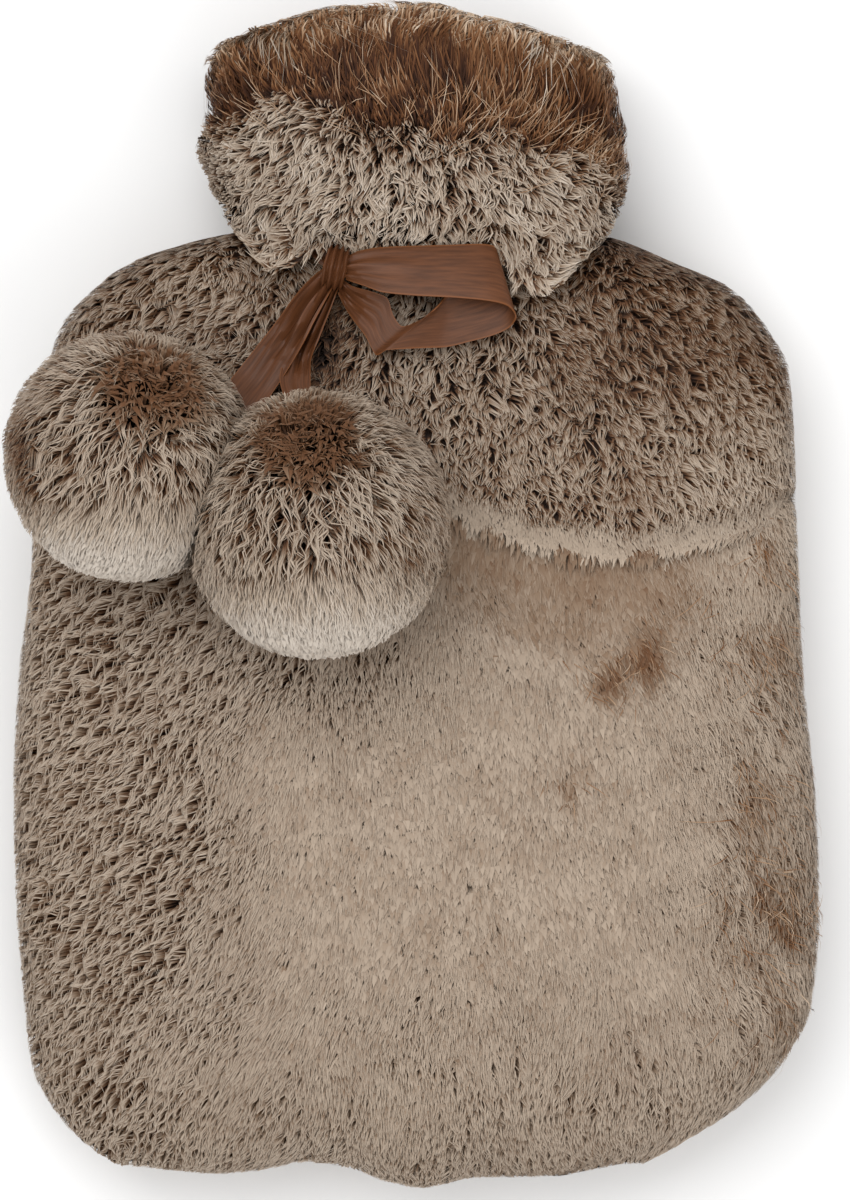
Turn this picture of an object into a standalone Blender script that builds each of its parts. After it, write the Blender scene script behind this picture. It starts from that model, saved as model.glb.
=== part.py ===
"""Fur cover for a hot water bottle, lying on its back, with a folded collar, a satin ribbon and two pompoms.

Metres, +Z up. The origin is on the flat back that the cover rests on, +Y runs from the bottom hem to the
collar, and +X is to the right as the front is seen from above. The fur's pile is part of each solid, so an
outer face is where the tips of the hairs lie.
"""

import math

import bmesh
import bpy
import numpy as np

MM = 0.001

# Driving dimensions.
SEAM_HEIGHT = 30 * MM  # the side seam, where the back panel meets the front panels
GAP = 0.3 * MM  # between two pieces that touch
PILE_FRONT = 13 * MM  # cloth and pile together, on the front
PILE_SIDE = 15 * MM
PILE_BACK = 8 * MM  # pressed flat by the cover's own weight
PILE_NECK = 5 * MM  # pressed flat by the collar
NECK_RIM = 150 * MM  # the top edge of the neck, under the collar's fold
BOTTOM_ROUND = 52 * MM  # how far the bottom's rounding reaches up the cover
HEM_SPREAD = 1.5  # the bottom hem's whole width, as a multiple of the first station's
FRONT_SQUARENESS = 2.7  # the power of the rounded section: 2 is an ellipse
BACK_SQUARENESS = 3.2
BACK_PRESS = 1.08  # the back would bulge this much further if nothing held it up
SHOULDER_FOOT = 84 * MM  # the shoulders' curve into the neck starts here
SHOULDER_TOP = 126 * MM  # and ends here
TUFT_HEIGHT = 1.6 * MM
TUFT_LENGTH = 21 * MM
LAP = 35 * MM  # how far the upper front panel covers the lower one
LAP_STEP = 7 * MM  # rows of both panels in the lap
LAP_SHARE = 0.58  # the upper panel's share of the wall in the lap
LAP_GAP = 0.06  # the gap between the two panels there, as a share of the wall
LAP_DIP = 48 * MM  # the lower panel's pile recovers over this length below the lap
LAP_LIP = 0.30  # how far the upper panel's edge is rounded off, as a share of the wall
LAP_LIP_REACH = 9 * MM
LAP_END = 3 * MM  # room between the lower panel's top edge and the upper panel's full thickness
LAP_END_SLOPE = 5 * MM
COLLAR_LOOSE = 3.6 * MM  # between neck and collar, where the ribbon passes
COLLAR_HEM = 8 * MM  # the least thickness of the collar's hem where it lies on the shoulders
RIBBON_THICK = 1.0 * MM
RIBBON_LIFT = 0.8 * MM  # the neck band's clearance from the fur
BAND_WIDTH = 12 * MM
BAND_ALONG = 131 * MM  # the middle of the neck band
BAND_DIP_WIDTH = 11 * MM  # how far to each side of the knot the band is drawn down to it
BAND_AT_KNOT = 4 * MM  # the middle of the band there, up from the knot

# The cover's outline and depth at each station along it: front and back are measured from the side seam.
BODY = np.array(
    [
        # along, left, right, front, back
        (-184, -66, 46, 38, 30),
        (-176, -91, 68, 38, 30),
        (-167, -104, 85, 38, 30),
        (-155, -114, 103, 38, 30),
        (-143, -119.5, 114.5, 38, 30),
        (-125, -121.5, 123.5, 38, 30),
        (-95, -124, 125.8, 38.5, 30),
        (-60, -125, 124.5, 38.5, 30),
        (-25, -123.5, 121, 38.5, 30),
        (10, -119.5, 119.3, 38, 30),
        (45, -118, 118, 37.5, 30),
        (70, -115, 116.5, 36.5, 30),
        (86, -109.5, 108.5, 35, 29),
        (97, -99.5, 98, 32, 27),
        (105, -88, 80, 29, 24.5),
        (111, -70, 66, 26.5, 22),
        (116, -51, 51, 24.8, 20.6),
        (124, -45, 45, 24, 20),
        (152, -45, 45, 24, 20),
    ]
) * MM
# The bottom edge at points across the cover, and the lap's edge.
BOTTOM = np.array(
    [
        (-90, -175.5),
        (-66, -178),
        (-48, -176.7),
        (-33, -174.4),
        (-20, -176),
        (-8, -180.3),
        (7, -182.4),
        (27, -179.2),
        (52, -178.9),
        (68, -175),
    ]
) * MM
LAP_EDGE = np.array([(-118, 33), (-60, 34), (5, 29), (38, 18.5), (63, 15), (92, 19), (118, 27)]) * MM

COLLAR = np.array(
    [
        # along, left, right, front, back
        (86, -52, 58, 42, 29),
        (101, -54.5, 61, 43, 30),
        (113, -60.5, 65.5, 44, 30),
        (126, -63, 66.3, 44, 30),
        (141, -66.8, 65.5, 43, 30),
        (152, -64.5, 63.5, 42, 30),
        (163, -65, 61.5, 39, 29),
        (171, -63, 58, 35, 27),
        (184, -58, 52, 30, 24),
    ]
) * MM
# The collar's front hem, at shares of the half width from the left side to the right one.
COLLAR_HEM_LINE = np.array(
    [
        (-1, 121),
        (-0.95, 111),
        (-0.86, 102.5),
        (-0.68, 104.5),
        (-0.56, 109.8),
        (0.42, 109.5),
        (0.58, 98),
        (0.72, 96),
        (0.86, 102),
        (0.95, 111),
        (1, 121),
    ]
)
COLLAR_BACK_HEM = 113 * MM
COLLAR_SIDE_HEM = 121 * MM
NECK_STRAIGHT = 120 * MM  # from here up the neck keeps its width
COLLAR_TOP = 182.7 * MM
COLLAR_SIDE_DROP = 9 * MM  # how much lower the pile stands at the collar's two sides
COLLAR_RIGHT_DROP = 3.5 * MM  # and how much more all over its right half
COLLAR_SWELL = 1.0 * MM  # soft lumps in the collar's pile

POMPOMS = {
    # centre across, centre along, centre up, radius
    "pompom_left": (-87.5 * MM, 44.5 * MM, 87 * MM, 37.7 * MM),
    "pompom_front": (-29.8 * MM, 23.6 * MM, 93.6 * MM, 40.3 * MM),
}
POMPOM_CORE = 0.87  # the radius between the locks, as a share of the whole
LOCKS_A_SIDE = 5  # locks along each edge of the cube that the ball is blown up from
LOCK_LEAN = np.array([0.05, -0.30, 0.0])  # how a lock's tip is combed, towards the bottom hem
LOCK_ROOM = 6 * MM  # a lock is shorter where it is nearer than this to what presses the ball

KNOT = (-24.5 * MM, 102.3 * MM, 6.3 * MM)  # across, along, and up from the fur
KNOT_RADII = (6.5 * MM, 6.0 * MM, 5.2 * MM)
# The ribbon's stations: its middle, with its lift over the fur, then the direction across it and its width.
RIBBON_LOOP = [
    # x, y, lift, across x, across y, across z, width
    (-23, 103, 8.0, 0.0, 1.0, 0.0, 6),
    (-16, 102.5, 9.5, 0.0, 1.0, 0.05, 10),
    (-5, 101.0, 11.0, 0.0, 1.0, 0.05, 14),
    (8, 100.2, 12.0, 0.0, 1.0, 0.0, 15.5),
    (20, 99.4, 11.5, -0.1, 1.0, 0.0, 15.5),
    (27, 97.8, 10.0, -0.2, 1.0, 0.0, 15.5),
    (29.3, 95.2, 7.4, -0.25, 1.0, -0.05, 15.5),
    (27.3, 92.3, 4.8, -0.25, 1.0, -0.15, 15.5),
    (19, 88.8, 3.6, -0.25, 0.95, -0.2, 15.5),
    (9.5, 86.3, 3.8, -0.3, 0.95, -0.1, 14.5),
    (3.5, 84.8, 4.8, -0.5, 0.75, 0.35, 13),
    (-2, 84.2, 6.0, -0.8, 0.35, 0.5, 12),
    (-6.5, 86, 6.0, -0.9, -0.2, 0.35, 12),
    (-11.5, 90.5, 5.4, -0.8, -0.6, 0.1, 12),
    (-17.5, 97, 5.2, -0.8, -0.6, 0.0, 9),
    (-23, 102, 5.2, -0.8, -0.6, 0.0, 6),
]
RIBBON_TAILS = {
    "left": [
        (-25, 102, 5.0, 0.83, -0.56, 0.0, 6),
        (-30, 95.5, 4.6, 0.83, -0.56, 0.0, 9),
        (-36, 87, 3.4, 0.83, -0.56, -0.05, 13),
        (-42, 78.5, 3.0, 0.83, -0.56, -0.1, 15.5),
        (-48, 70, 3.2, 0.8, -0.6, -0.1, 15.5),
        (-54, 62.5, 6.5, 0.75, -0.65, -0.1, 12),
        (-58, 59.2, 9.5, 0.75, -0.65, -0.1, 10),
    ],
    "front": [
        (-24.5, 101, 5.0, 0.8, 0.0, -0.6, 6),
        (-25, 93, 5.2, 0.75, 0.0, -0.65, 9),
        (-26.5, 84, 5.2, 0.75, 0.0, -0.6, 11),
        (-28.5, 75, 6.8, 0.85, 0.0, -0.5, 12),
        (-30.3, 67, 10.5, 0.95, 0.0, -0.3, 12),
        (-31, 60.4, 14.0, 1.0, 0.0, -0.1, 11),
    ],
}
RIBBON_STEPS = 2  # rows between two stations

COLUMNS = 26  # across each panel, and across each side of the collar and the neck band
SHARP = math.radians(50)  # edges bent further than this aren't shaded smooth

# name, colour, roughness
FUR = ("fur", (0.26, 0.19, 0.145, 1), 0.95)
POMPOM_FUR = ("pompom_fur", (0.25, 0.185, 0.14, 1), 0.95)
SATIN = ("satin", (0.162, 0.074, 0.044, 1), 0.42)


def smooth_through(table, at, column):
    """The table's column at those places along it, on a cubic through every row that never overshoots."""
    x, y = table[:, 0], table[:, column]
    run, rise = np.diff(x), np.diff(y)
    slope = rise / run
    same_way = slope[:-1] * slope[1:] > 0
    inner = np.where(same_way, 2 * slope[:-1] * slope[1:] / np.where(same_way, slope[:-1] + slope[1:], 1), 0)
    tangent = np.concatenate([[slope[0]], inner, [slope[-1]]])
    at = np.clip(at, x[0], x[-1])
    i = np.clip(np.searchsorted(x, at, side="right") - 1, 0, len(x) - 2)
    t = (at - x[i]) / run[i]
    return (
        y[i] * (1 + 2 * t) * (1 - t) ** 2
        + tangent[i] * run[i] * t * (1 - t) ** 2
        + y[i + 1] * t * t * (3 - 2 * t)
        - tangent[i + 1] * run[i] * t * t * (1 - t)
    )


def ease(value, start, end):
    """0 before start, 1 after end, and a smooth rise between them."""
    t = np.clip((value - start) / (end - start), 0, 1)
    return t * t * (3 - 2 * t)


def rounded(share, power):
    """The height of a rounded section, 0 to 1, at a share of its half width."""
    return np.clip(1 - np.abs(share) ** power, 0, 1) ** (1 / power)


def hem_edge(across):
    """The bottom edge's station at those shares of the half width."""
    left, right = BODY[0, 1], BODY[0, 2]
    return smooth_through(BOTTOM, (left + right) / 2 + (right - left) / 2 * across * HEM_SPREAD, 1)


def bottom_rounding(along, edge, reach):
    """How far the cover has opened, 0 at its bottom edge and 1 a reach above it: a quarter of an ellipse."""
    opened = np.clip((along - edge) / reach, 0, 1)
    return np.sqrt(1 - (1 - opened) ** 2)


def wall_depth(along, at_body):
    """A wall's thickness: that of the body up to the shoulders, and thin under the collar."""
    return at_body + (PILE_NECK - at_body) * ease(along, 92 * MM, 116 * MM)


def body_point(along, across, front, inside):
    """The point of the cover's outer or inner face at a station and a share of its half width."""
    left, right = (smooth_through(BODY, along, k) for k in (1, 2))
    rise = smooth_through(BODY, along, 3 if front else 4)
    middle, half = (left + right) / 2, (right - left) / 2
    edge, reach = hem_edge(across), BOTTOM_ROUND
    if inside:
        half = half - wall_depth(along, PILE_SIDE)
        rise = rise - wall_depth(along, PILE_FRONT if front else PILE_BACK)
        edge, reach = edge + PILE_SIDE, BOTTOM_ROUND - PILE_SIDE
    opened = bottom_rounding(along, edge, reach)
    if front:
        up = SEAM_HEIGHT + GAP / 2 + rise * opened * rounded(across, FRONT_SQUARENESS)
    else:
        resting = SEAM_HEIGHT - GAP / 2
        down = rise * np.minimum(BACK_PRESS * opened * rounded(across, BACK_SQUARENESS), 1)
        up = resting - np.minimum(down, resting)
    return np.stack(np.broadcast_arrays(middle + half * across, along, up), axis=-1)


def fur_height(x, y, front=True):
    """The height of the cover's outer face over a point of the floor, and the seam's past its outline."""
    left, right = (smooth_through(BODY, y, k) for k in (1, 2))
    share = (x - (left + right) / 2) / ((right - left) / 2)
    surface = body_point(y, np.clip(share, -1, 1), front, inside=False)
    return surface[..., 2]


def tufts(points):
    """Soft lumps in the pile: crossed waves, calm at the seam and where something lies on the fur."""
    x, y, z = (points[..., k] for k in range(3))
    wave = 2 * math.pi / TUFT_LENGTH
    lumps = np.sin(wave * (x + 0.35 * y) + 1.7) * np.sin(wave * (0.9 * y - 0.3 * x) + 0.6)
    lumps = lumps + 0.6 * np.sin(wave * (0.62 * x - 0.5 * y) + 4.0)
    under_collar = ease(y, SHOULDER_FOOT - 20 * MM, SHOULDER_FOOT - 4 * MM)
    calm = (1 - under_collar) * ease(z, SEAM_HEIGHT + 1 * MM, SEAM_HEIGHT + 14 * MM)
    for cx, cy, _, radius in POMPOMS.values():
        calm = calm * ease(np.hypot(x - cx, y - cy), radius * 0.95, radius * 1.35)
    return TUFT_HEIGHT * lumps * calm


def mesh_object(name, points, faces, material, smooth=True):
    """A new object of those points and faces."""
    mesh = bpy.data.meshes.new(name)
    mesh.from_pydata(points.tolist(), [], faces.tolist())
    mesh.validate()
    if smooth:
        mesh.shade_smooth()
        mesh.set_sharp_from_angle(angle=SHARP)
    mesh.materials.append(material)
    made = bpy.data.objects.new(name, mesh)
    bpy.context.scene.collection.objects.link(made)
    return made


def grid_faces(rows, columns, start=0):
    """The quads of a grid of points that are numbered row by row."""
    i, j = np.meshgrid(np.arange(rows - 1), np.arange(columns - 1), indexing="ij")
    corner = (start + i * columns + j).ravel()
    return np.stack([corner, corner + 1, corner + columns + 1, corner + columns], axis=1)


def ring_faces(rings, columns):
    """The quads of a closed tube whose profile has a ring of points at each of its corners."""
    i, j = np.meshgrid(np.arange(rings), np.arange(columns), indexing="ij")
    after_i, after_j = (i + 1) % rings, (j + 1) % columns
    corners = [i * columns + j, i * columns + after_j, after_i * columns + after_j, after_i * columns + j]
    return np.stack(corners, axis=-1).reshape(-1, 4)


def thick_patch(upper, lower):
    """The points and faces of the closed body between two grids of points, one over the other."""
    rows, columns = upper.shape[:2]
    count = rows * columns
    number = np.arange(count).reshape(rows, columns)
    rim = np.concatenate([number[0, :-1], number[:-1, -1], number[-1, :0:-1], number[:0:-1, 0]])
    after = np.roll(rim, -1)
    faces = np.concatenate(
        [
            grid_faces(rows, columns)[:, ::-1],
            grid_faces(rows, columns, count),
            np.stack([rim, after, after + count, rim + count], axis=1),
        ]
    )
    return np.concatenate([upper.reshape(-1, 3), lower.reshape(-1, 3)]), faces


def bottom_rows(edge, reach, count):
    """Rows up the rounding at the bottom, close together at the edge."""
    turned = np.linspace(0, math.pi / 2, count + 1)[:, None]
    return edge + reach * (1 - np.cos(turned))


def between(start, end, count):
    """Rows after start up to end, for each column."""
    share = np.linspace(0, 1, count + 1)[1:, None]
    return start + (end - start) * share


def across_columns():
    """Shares of the half width from the right side to the left one, closer together at the sides."""
    return np.cos(np.linspace(0, math.pi, COLUMNS + 1))[None, :]


def front_panel(name, along_outer, along_inner, across, wall_shares, lumpy, material):
    """A front panel between two shares of the wall, 0 outside and 1 inside, with tufts on its outer face."""
    outer = body_point(along_outer, across, True, inside=False)
    inner = body_point(along_inner, across, True, inside=True)
    top, under = (outer + (inner - outer) * share[..., None] for share in wall_shares)
    lumps = tufts(top) * lumpy
    top = top + np.stack([lumps * across * 0.5, 0 * lumps, lumps * rounded(across, 2)], axis=-1)
    return mesh_object(name, *thick_patch(top, under), material)


def shoulder_rows(start):
    """Rows from start over the shoulders to the neck's rim."""
    return np.concatenate(
        [
            between(start, SHOULDER_FOOT, 2),
            between(SHOULDER_FOOT + 0 * start, SHOULDER_TOP, 10),
            between(SHOULDER_TOP + 0 * start, NECK_RIM, 1),
        ]
    )


def make_back_panel(material):
    """The back: a dish with a flat underside, from the bottom hem to the neck's rim."""
    across = across_columns()
    edge = hem_edge(across)
    middle_rows = between(edge + BOTTOM_ROUND, 70 * MM, 8)
    above = np.concatenate([middle_rows, shoulder_rows(middle_rows[-1:])])
    along_outer = np.concatenate([bottom_rows(edge, BOTTOM_ROUND, 5), above])
    along_inner = np.concatenate([bottom_rows(edge + PILE_SIDE, BOTTOM_ROUND - PILE_SIDE, 5), above])
    outer = body_point(along_outer, across, False, inside=False)
    inner = body_point(along_inner, across, False, inside=True)
    return mesh_object("back_panel", *thick_patch(inner, outer), material)


def lap_line(across):
    """The station of the upper panel's lower edge at those shares of the half width."""
    return smooth_through(LAP_EDGE, LAP_EDGE[-1, 0] * across, 1)


def make_front_lower_panel(material):
    """The lower front panel, whose top edge is tucked under the upper one."""
    across = across_columns()
    edge = hem_edge(across)
    lap = lap_line(across)
    above = np.concatenate(
        [
            between(edge + BOTTOM_ROUND, lap - LAP_DIP, 9),
            between(lap - LAP_DIP, lap, 5),
            between(lap, lap + LAP, round(LAP / LAP_STEP)),
        ]
    )
    outer = np.concatenate([bottom_rows(edge, BOTTOM_ROUND, 5), above])
    inner = np.concatenate([bottom_rows(edge + PILE_SIDE, BOTTOM_ROUND - PILE_SIDE, 5), above])
    sunk = (LAP_SHARE + LAP_GAP) * ease(outer, lap - LAP_DIP, lap - 2 * MM)
    lumpy = 1 - ease(outer, lap - 20 * MM, lap - 5 * MM)
    return front_panel("front_lower_panel", outer, inner, across, (sunk, np.ones_like(sunk)), lumpy, material)


def make_front_upper_panel(material):
    """The upper front panel, from the lap's edge over the shoulders to the neck's rim."""
    across = across_columns()
    lap = lap_line(across)
    past = lap + LAP + LAP_END
    whole = past + LAP_END_SLOPE
    lapped = between(lap, lap + LAP, round(LAP / LAP_STEP))
    along = np.concatenate([lap, lapped, past, whole, shoulder_rows(whole)])
    lip = LAP_LIP * (1 - ease(along, lap, lap + LAP_LIP_REACH))
    depth = LAP_SHARE + (1 - LAP_SHARE) * ease(along, past - LAP_END / 2, whole)
    return front_panel("front_upper_panel", along, along, across, (lip, depth), np.ones_like(along), material)


def neck_point(turn, along, off):
    """A point a distance off the neck, or off the shoulders where a station lies below it."""
    across, front = np.cos(turn), np.sin(turn) >= 0
    above = np.maximum(along, NECK_STRAIGHT)
    left, right = (smooth_through(BODY, above, k) for k in (1, 2))
    x = (left + right) / 2 + ((right - left) / 2 + off) * across
    rise = np.where(front, smooth_through(BODY, above, 3), smooth_through(BODY, above, 4))
    power = np.where(front, FRONT_SQUARENESS, BACK_SQUARENESS)
    own = (rise + off) * rounded(across, power)
    side = np.where(front, 1, -1)
    press = np.where(front, 1, BACK_PRESS)
    fur = np.where(front, fur_height(x, along), fur_height(x, along, front=False))
    away = np.maximum(own * press, side * (fur - SEAM_HEIGHT) + off)
    return np.stack([x, along, SEAM_HEIGHT + side * away], axis=-1)


def collar_outside(turn, along):
    """A point of the collar's outer face, which keeps a hem's thickness over the shoulders."""
    across, front = np.cos(turn), np.sin(turn) >= 0
    side = np.where(front, 1, -1)
    left, right = (smooth_through(COLLAR, along, k) for k in (1, 2))
    x = (left + right) / 2 + (right - left) / 2 * across
    rise = np.where(front, smooth_through(COLLAR, along, 3), smooth_through(COLLAR, along, 4))
    power = np.where(front, FRONT_SQUARENESS, BACK_SQUARENESS)
    shape = rounded(across, power) * np.where(front, 1, BACK_PRESS)
    shoulder = side * (np.where(front, fur_height(x, along), fur_height(x, along, front=False)) - SEAM_HEIGHT)
    over = shoulder + (COLLAR_LOOSE + COLLAR_HEM) * ease(shoulder, 0, 10 * MM)
    away = np.maximum(rise * shape, over)
    away = np.where(front, away, np.minimum(away, SEAM_HEIGHT))
    return np.stack([x, along, SEAM_HEIGHT + side * away], axis=-1)


def mouth_point(turn, along):
    """A point of the neck's inner face, carried on up through the collar."""
    across, front = np.cos(turn), np.sin(turn) >= 0
    points = [body_point(NECK_RIM + 0 * along, across, side, inside=True) for side in (True, False)]
    found = np.where(front[..., None], points[0], points[1])
    return np.concatenate([found[..., :1], along[..., None], found[..., 2:]], axis=-1)


def collar_profile(turn):
    """The corners of the collar's wall, each at a station and at a depth in the wall.

    It runs up the outside, over the fold, down the mouth onto the neck's rim, and down the neck to the hem.
    Depth is 0 on the outside, 1 on the neck's outside and 2 in the mouth.
    """
    across = np.cos(turn)
    front_hem = smooth_through(COLLAR_HEM_LINE * (1, MM), across, 1)
    back_hem = COLLAR_BACK_HEM + (COLLAR_SIDE_HEM - COLLAR_BACK_HEM) * across**8
    hem = np.where(np.sin(turn) >= 0, front_hem, back_hem)
    top = COLLAR_TOP - COLLAR_SIDE_DROP * np.abs(across) ** 3 - COLLAR_RIGHT_DROP * ease(across, 0.05, 0.55)
    rim = NECK_RIM + GAP + 0 * hem
    profile = [(hem, 1.0), (hem, 0.45), (hem + 4 * MM, 0.08)]
    profile += [(row[None, :], 0.0) for row in between(hem + 4 * MM, top - 22 * MM, 6)]
    profile += [(top - 10 * MM, 0.10), (top - 3 * MM, 0.42), (top, 0.95), (top - 3 * MM, 1.45)]
    profile += [(top - 12 * MM, 1.85), (rim, 2.0), (rim, 1.0)]
    profile += [(rim + (hem - rim) * share, 1.0) for share in (0.25, 0.45, 0.62, 0.75, 0.88)]
    return profile


def collar_ring(turn, along, depth):
    """A closed ring of the collar's points at a station, at a depth in its wall."""
    tight = ease(along, BAND_ALONG + 8 * MM, NECK_RIM - 3 * MM)
    neck = neck_point(turn, along, COLLAR_LOOSE + (GAP - COLLAR_LOOSE) * tight)
    if depth > 1:
        return neck + (mouth_point(turn, along) - neck) * (depth - 1)
    outside = collar_outside(turn, along)
    swell = COLLAR_SWELL * np.sin(5 * turn + 260 * along) * np.sin(190 * along + 2.5 * np.cos(turn))
    swell = swell * (np.sin(turn) > -0.2) * (depth < 0.5)
    lumps = np.stack([swell * np.cos(turn), 0 * swell, swell * np.abs(np.sin(turn))], axis=-1)
    return outside + (neck - outside) * depth + lumps


def make_collar(material):
    """The folded collar: a ring round the neck with an open mouth."""
    turn = np.linspace(0, 2 * math.pi, 2 * COLUMNS, endpoint=False)[None, :]
    rings = np.concatenate([collar_ring(turn, along, depth) for along, depth in collar_profile(turn)])
    return mesh_object("collar", rings.reshape(-1, 3), ring_faces(*rings.shape[:2]), material)


def cube_ball(cells):
    """The unit ball's points and quads, blown up from a cube of cells x cells squares a side."""
    side = np.tan(np.linspace(-math.pi / 4, math.pi / 4, cells + 1))
    u, v = (g.ravel() for g in np.meshgrid(side, side, indexing="ij"))
    one = np.ones_like(u)
    sheets = [(u, v, one), (v, u, -one), (one, u, v), (-one, v, u), (v, one, u), (u, -one, v)]
    points = np.concatenate([np.stack(s, axis=1) for s in sheets])
    faces = np.concatenate([grid_faces(cells + 1, cells + 1, k * len(u)) for k in range(6)])
    _, first, index = np.unique(np.round(points, 6), axis=0, return_index=True, return_inverse=True)
    points, faces = points[first], index.reshape(-1)[faces]
    points = points / np.linalg.norm(points, axis=1, keepdims=True)
    a, b, d = points[faces[:, 0]], points[faces[:, 1]], points[faces[:, 3]]
    inward = (np.cross(b - a, d - a) * a).sum(axis=1) < 0
    faces[inward] = faces[inward][:, ::-1]
    return points, faces


def pressed(points, centre, other, ball_share):
    """Points of a ball held over the fur and on its own side of the face that the two balls share."""
    away = other - centre
    span = np.linalg.norm(away)
    away = away / span
    past = (points - centre) @ away - span * ball_share + GAP / 2
    points = points - np.maximum(past, 0)[:, None] * away
    floor = fur_height(points[:, 0], points[:, 1]) + 1.5 * GAP
    points[:, 2] = np.maximum(points[:, 2], floor)
    return points, np.minimum(-past, points[:, 2] - floor)


def make_pompom(name, material):
    """A fur ball: a core with four-sided locks, flat where it lies on the cover and against its twin."""
    twin = next(n for n in POMPOMS if n != name)
    *centre, radius = POMPOMS[name]
    *other, other_radius = POMPOMS[twin]
    centre, other = np.array(centre), np.array(other)
    share = radius / (radius + other_radius)
    ball, quads = cube_ball(LOCKS_A_SIDE)
    roots, _ = pressed(centre + radius * POMPOM_CORE * ball, centre, other, share)
    outward = ball[quads].mean(axis=1)
    outward = outward / np.linalg.norm(outward, axis=1, keepdims=True)
    combed = outward + LOCK_LEAN
    combed = combed / np.linalg.norm(combed, axis=1, keepdims=True)
    tips, room = pressed(centre + radius * combed, centre, other, share)
    flat = roots[quads].mean(axis=1)
    tips = flat + (tips - flat) * ease(room, 0.0, LOCK_ROOM)[:, None]
    points = np.concatenate([roots, tips])
    tip = len(roots) + np.arange(len(quads))
    faces = [np.stack([quads[:, k], quads[:, (k + 1) % 4], tip], axis=1) for k in range(4)]
    return mesh_object(name, points, np.concatenate(faces), material, smooth=False)


def strip(stations):
    """A ribbon's points and faces through its stations, with rows eased in between on a smooth curve."""
    table = np.array(stations, float)
    table[:, [0, 1, 2, 6]] *= MM
    table[:, 2] += fur_height(table[:, 0], table[:, 1])
    steps = np.concatenate([[0], np.cumsum(np.linalg.norm(np.diff(table[:, :3], axis=0), axis=1))])
    table = np.column_stack([steps, table])
    count = (len(stations) - 1) * (RIBBON_STEPS + 1) + 1
    at = np.interp(np.linspace(0, len(stations) - 1, count), np.arange(len(stations)), steps)
    rows = np.stack([smooth_through(table, at, k) for k in range(1, 8)], axis=1)
    middle, across, width = rows[:, :3], rows[:, 3:6], rows[:, 6:]
    across = across / np.linalg.norm(across, axis=1, keepdims=True)
    along = np.gradient(middle, axis=0)
    facing = np.cross(along, across)
    facing = facing / np.linalg.norm(facing, axis=1, keepdims=True)
    edges = np.stack([middle + across * width / 2, middle - across * width / 2], axis=1)
    half = facing[:, None, :] * RIBBON_THICK / 2
    return thick_patch(edges + half, edges - half)


def neck_band():
    """The ribbon round the neck, under the collar, which dips out of it at the knot."""
    turn = np.linspace(0, 2 * math.pi, 2 * COLUMNS, endpoint=False)[None, :]
    off_knot = BODY[-1, 2] * np.cos(turn) - KNOT[0]
    near_knot = np.exp(-((off_knot / BAND_DIP_WIDTH) ** 2)) * (np.sin(turn) > 0)
    along = BAND_ALONG + (KNOT[1] + BAND_AT_KNOT - BAND_ALONG) * near_knot
    up = BAND_WIDTH / 2 * np.array([1, 0, -1, -1, 0, 1])[:, None]
    off = RIBBON_LIFT * (1 + 0.5 * near_knot) + RIBBON_THICK * np.array([1, 1, 1, 0, 0, 0])[:, None]
    rings = neck_point(turn, along + up, off)
    return rings.reshape(-1, 3), ring_faces(*rings.shape[:2])


def knot():
    """The knot's points and faces: a rounded lump over the fur."""
    ball, quads = cube_ball(4)
    x, y, lift = KNOT
    centre = np.array([x, y, lift + fur_height(np.array(x), np.array(y))])
    return centre + ball * np.array(KNOT_RADII), quads


def facing_out(made):
    """Turns a closed mesh's faces outwards, and joins points at the same place."""
    work = bmesh.new()
    work.from_mesh(made.data)
    bmesh.ops.remove_doubles(work, verts=work.verts, dist=1e-6)
    bmesh.ops.recalc_face_normals(work, faces=work.faces)
    if work.calc_volume(signed=True) < 0:
        bmesh.ops.reverse_faces(work, faces=work.faces)
    work.to_mesh(made.data)
    work.free()
    return made


def make_ribbon(material):
    """One ribbon: the band round the neck, the knot, its loop and its tails, which all meet in the knot."""
    ribbon = facing_out(mesh_object("ribbon", *neck_band(), material))
    pieces = [knot(), strip(RIBBON_LOOP), *map(strip, RIBBON_TAILS.values())]
    for k, (points, faces) in enumerate(pieces):
        helper = facing_out(mesh_object(f"ribbon_helper_{k}", points, faces, material))
        helper.hide_render = True
        helper.display_type = "WIRE"
        union = ribbon.modifiers.new(f"join_{k}", "BOOLEAN")
        union.operation = "UNION"
        union.solver = "EXACT"
        union.object = helper
    return ribbon


def make_material(name, colour, roughness):
    """A plain finish."""
    made = bpy.data.materials.new(name)
    made.use_nodes = True
    shader = made.node_tree.nodes["Principled BSDF"]
    shader.inputs["Base Color"].default_value = colour
    shader.inputs["Roughness"].default_value = roughness
    shader.inputs["Metallic"].default_value = 0.0
    return made


def clear_scene():
    """Removes what the new file came with."""
    for old in list(bpy.data.objects):
        bpy.data.objects.remove(old)


def main():
    clear_scene()
    fur, pompom_fur, satin = (make_material(*m) for m in (FUR, POMPOM_FUR, SATIN))
    made = [
        make_back_panel(fur),
        make_front_lower_panel(fur),
        make_front_upper_panel(fur),
        make_collar(fur),
        *(make_pompom(name, pompom_fur) for name in POMPOMS),
    ]
    for piece in made:
        facing_out(piece)
    make_ribbon(satin)


main()
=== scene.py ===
"""The looks of a long-pile fur cover for a hot water bottle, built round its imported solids.

Metres, +Z up, in the frame of the solids: the cover lies on its back, and +Y runs from the bottom hem to the
collar. Every furred piece is one surface with a depth: at depth 0 lie the tips of the hairs, where the
solid's outer face is, and at depth 1 lies the cloth that they grow from. A hair is a bent line through it.
"""

import math

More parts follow.
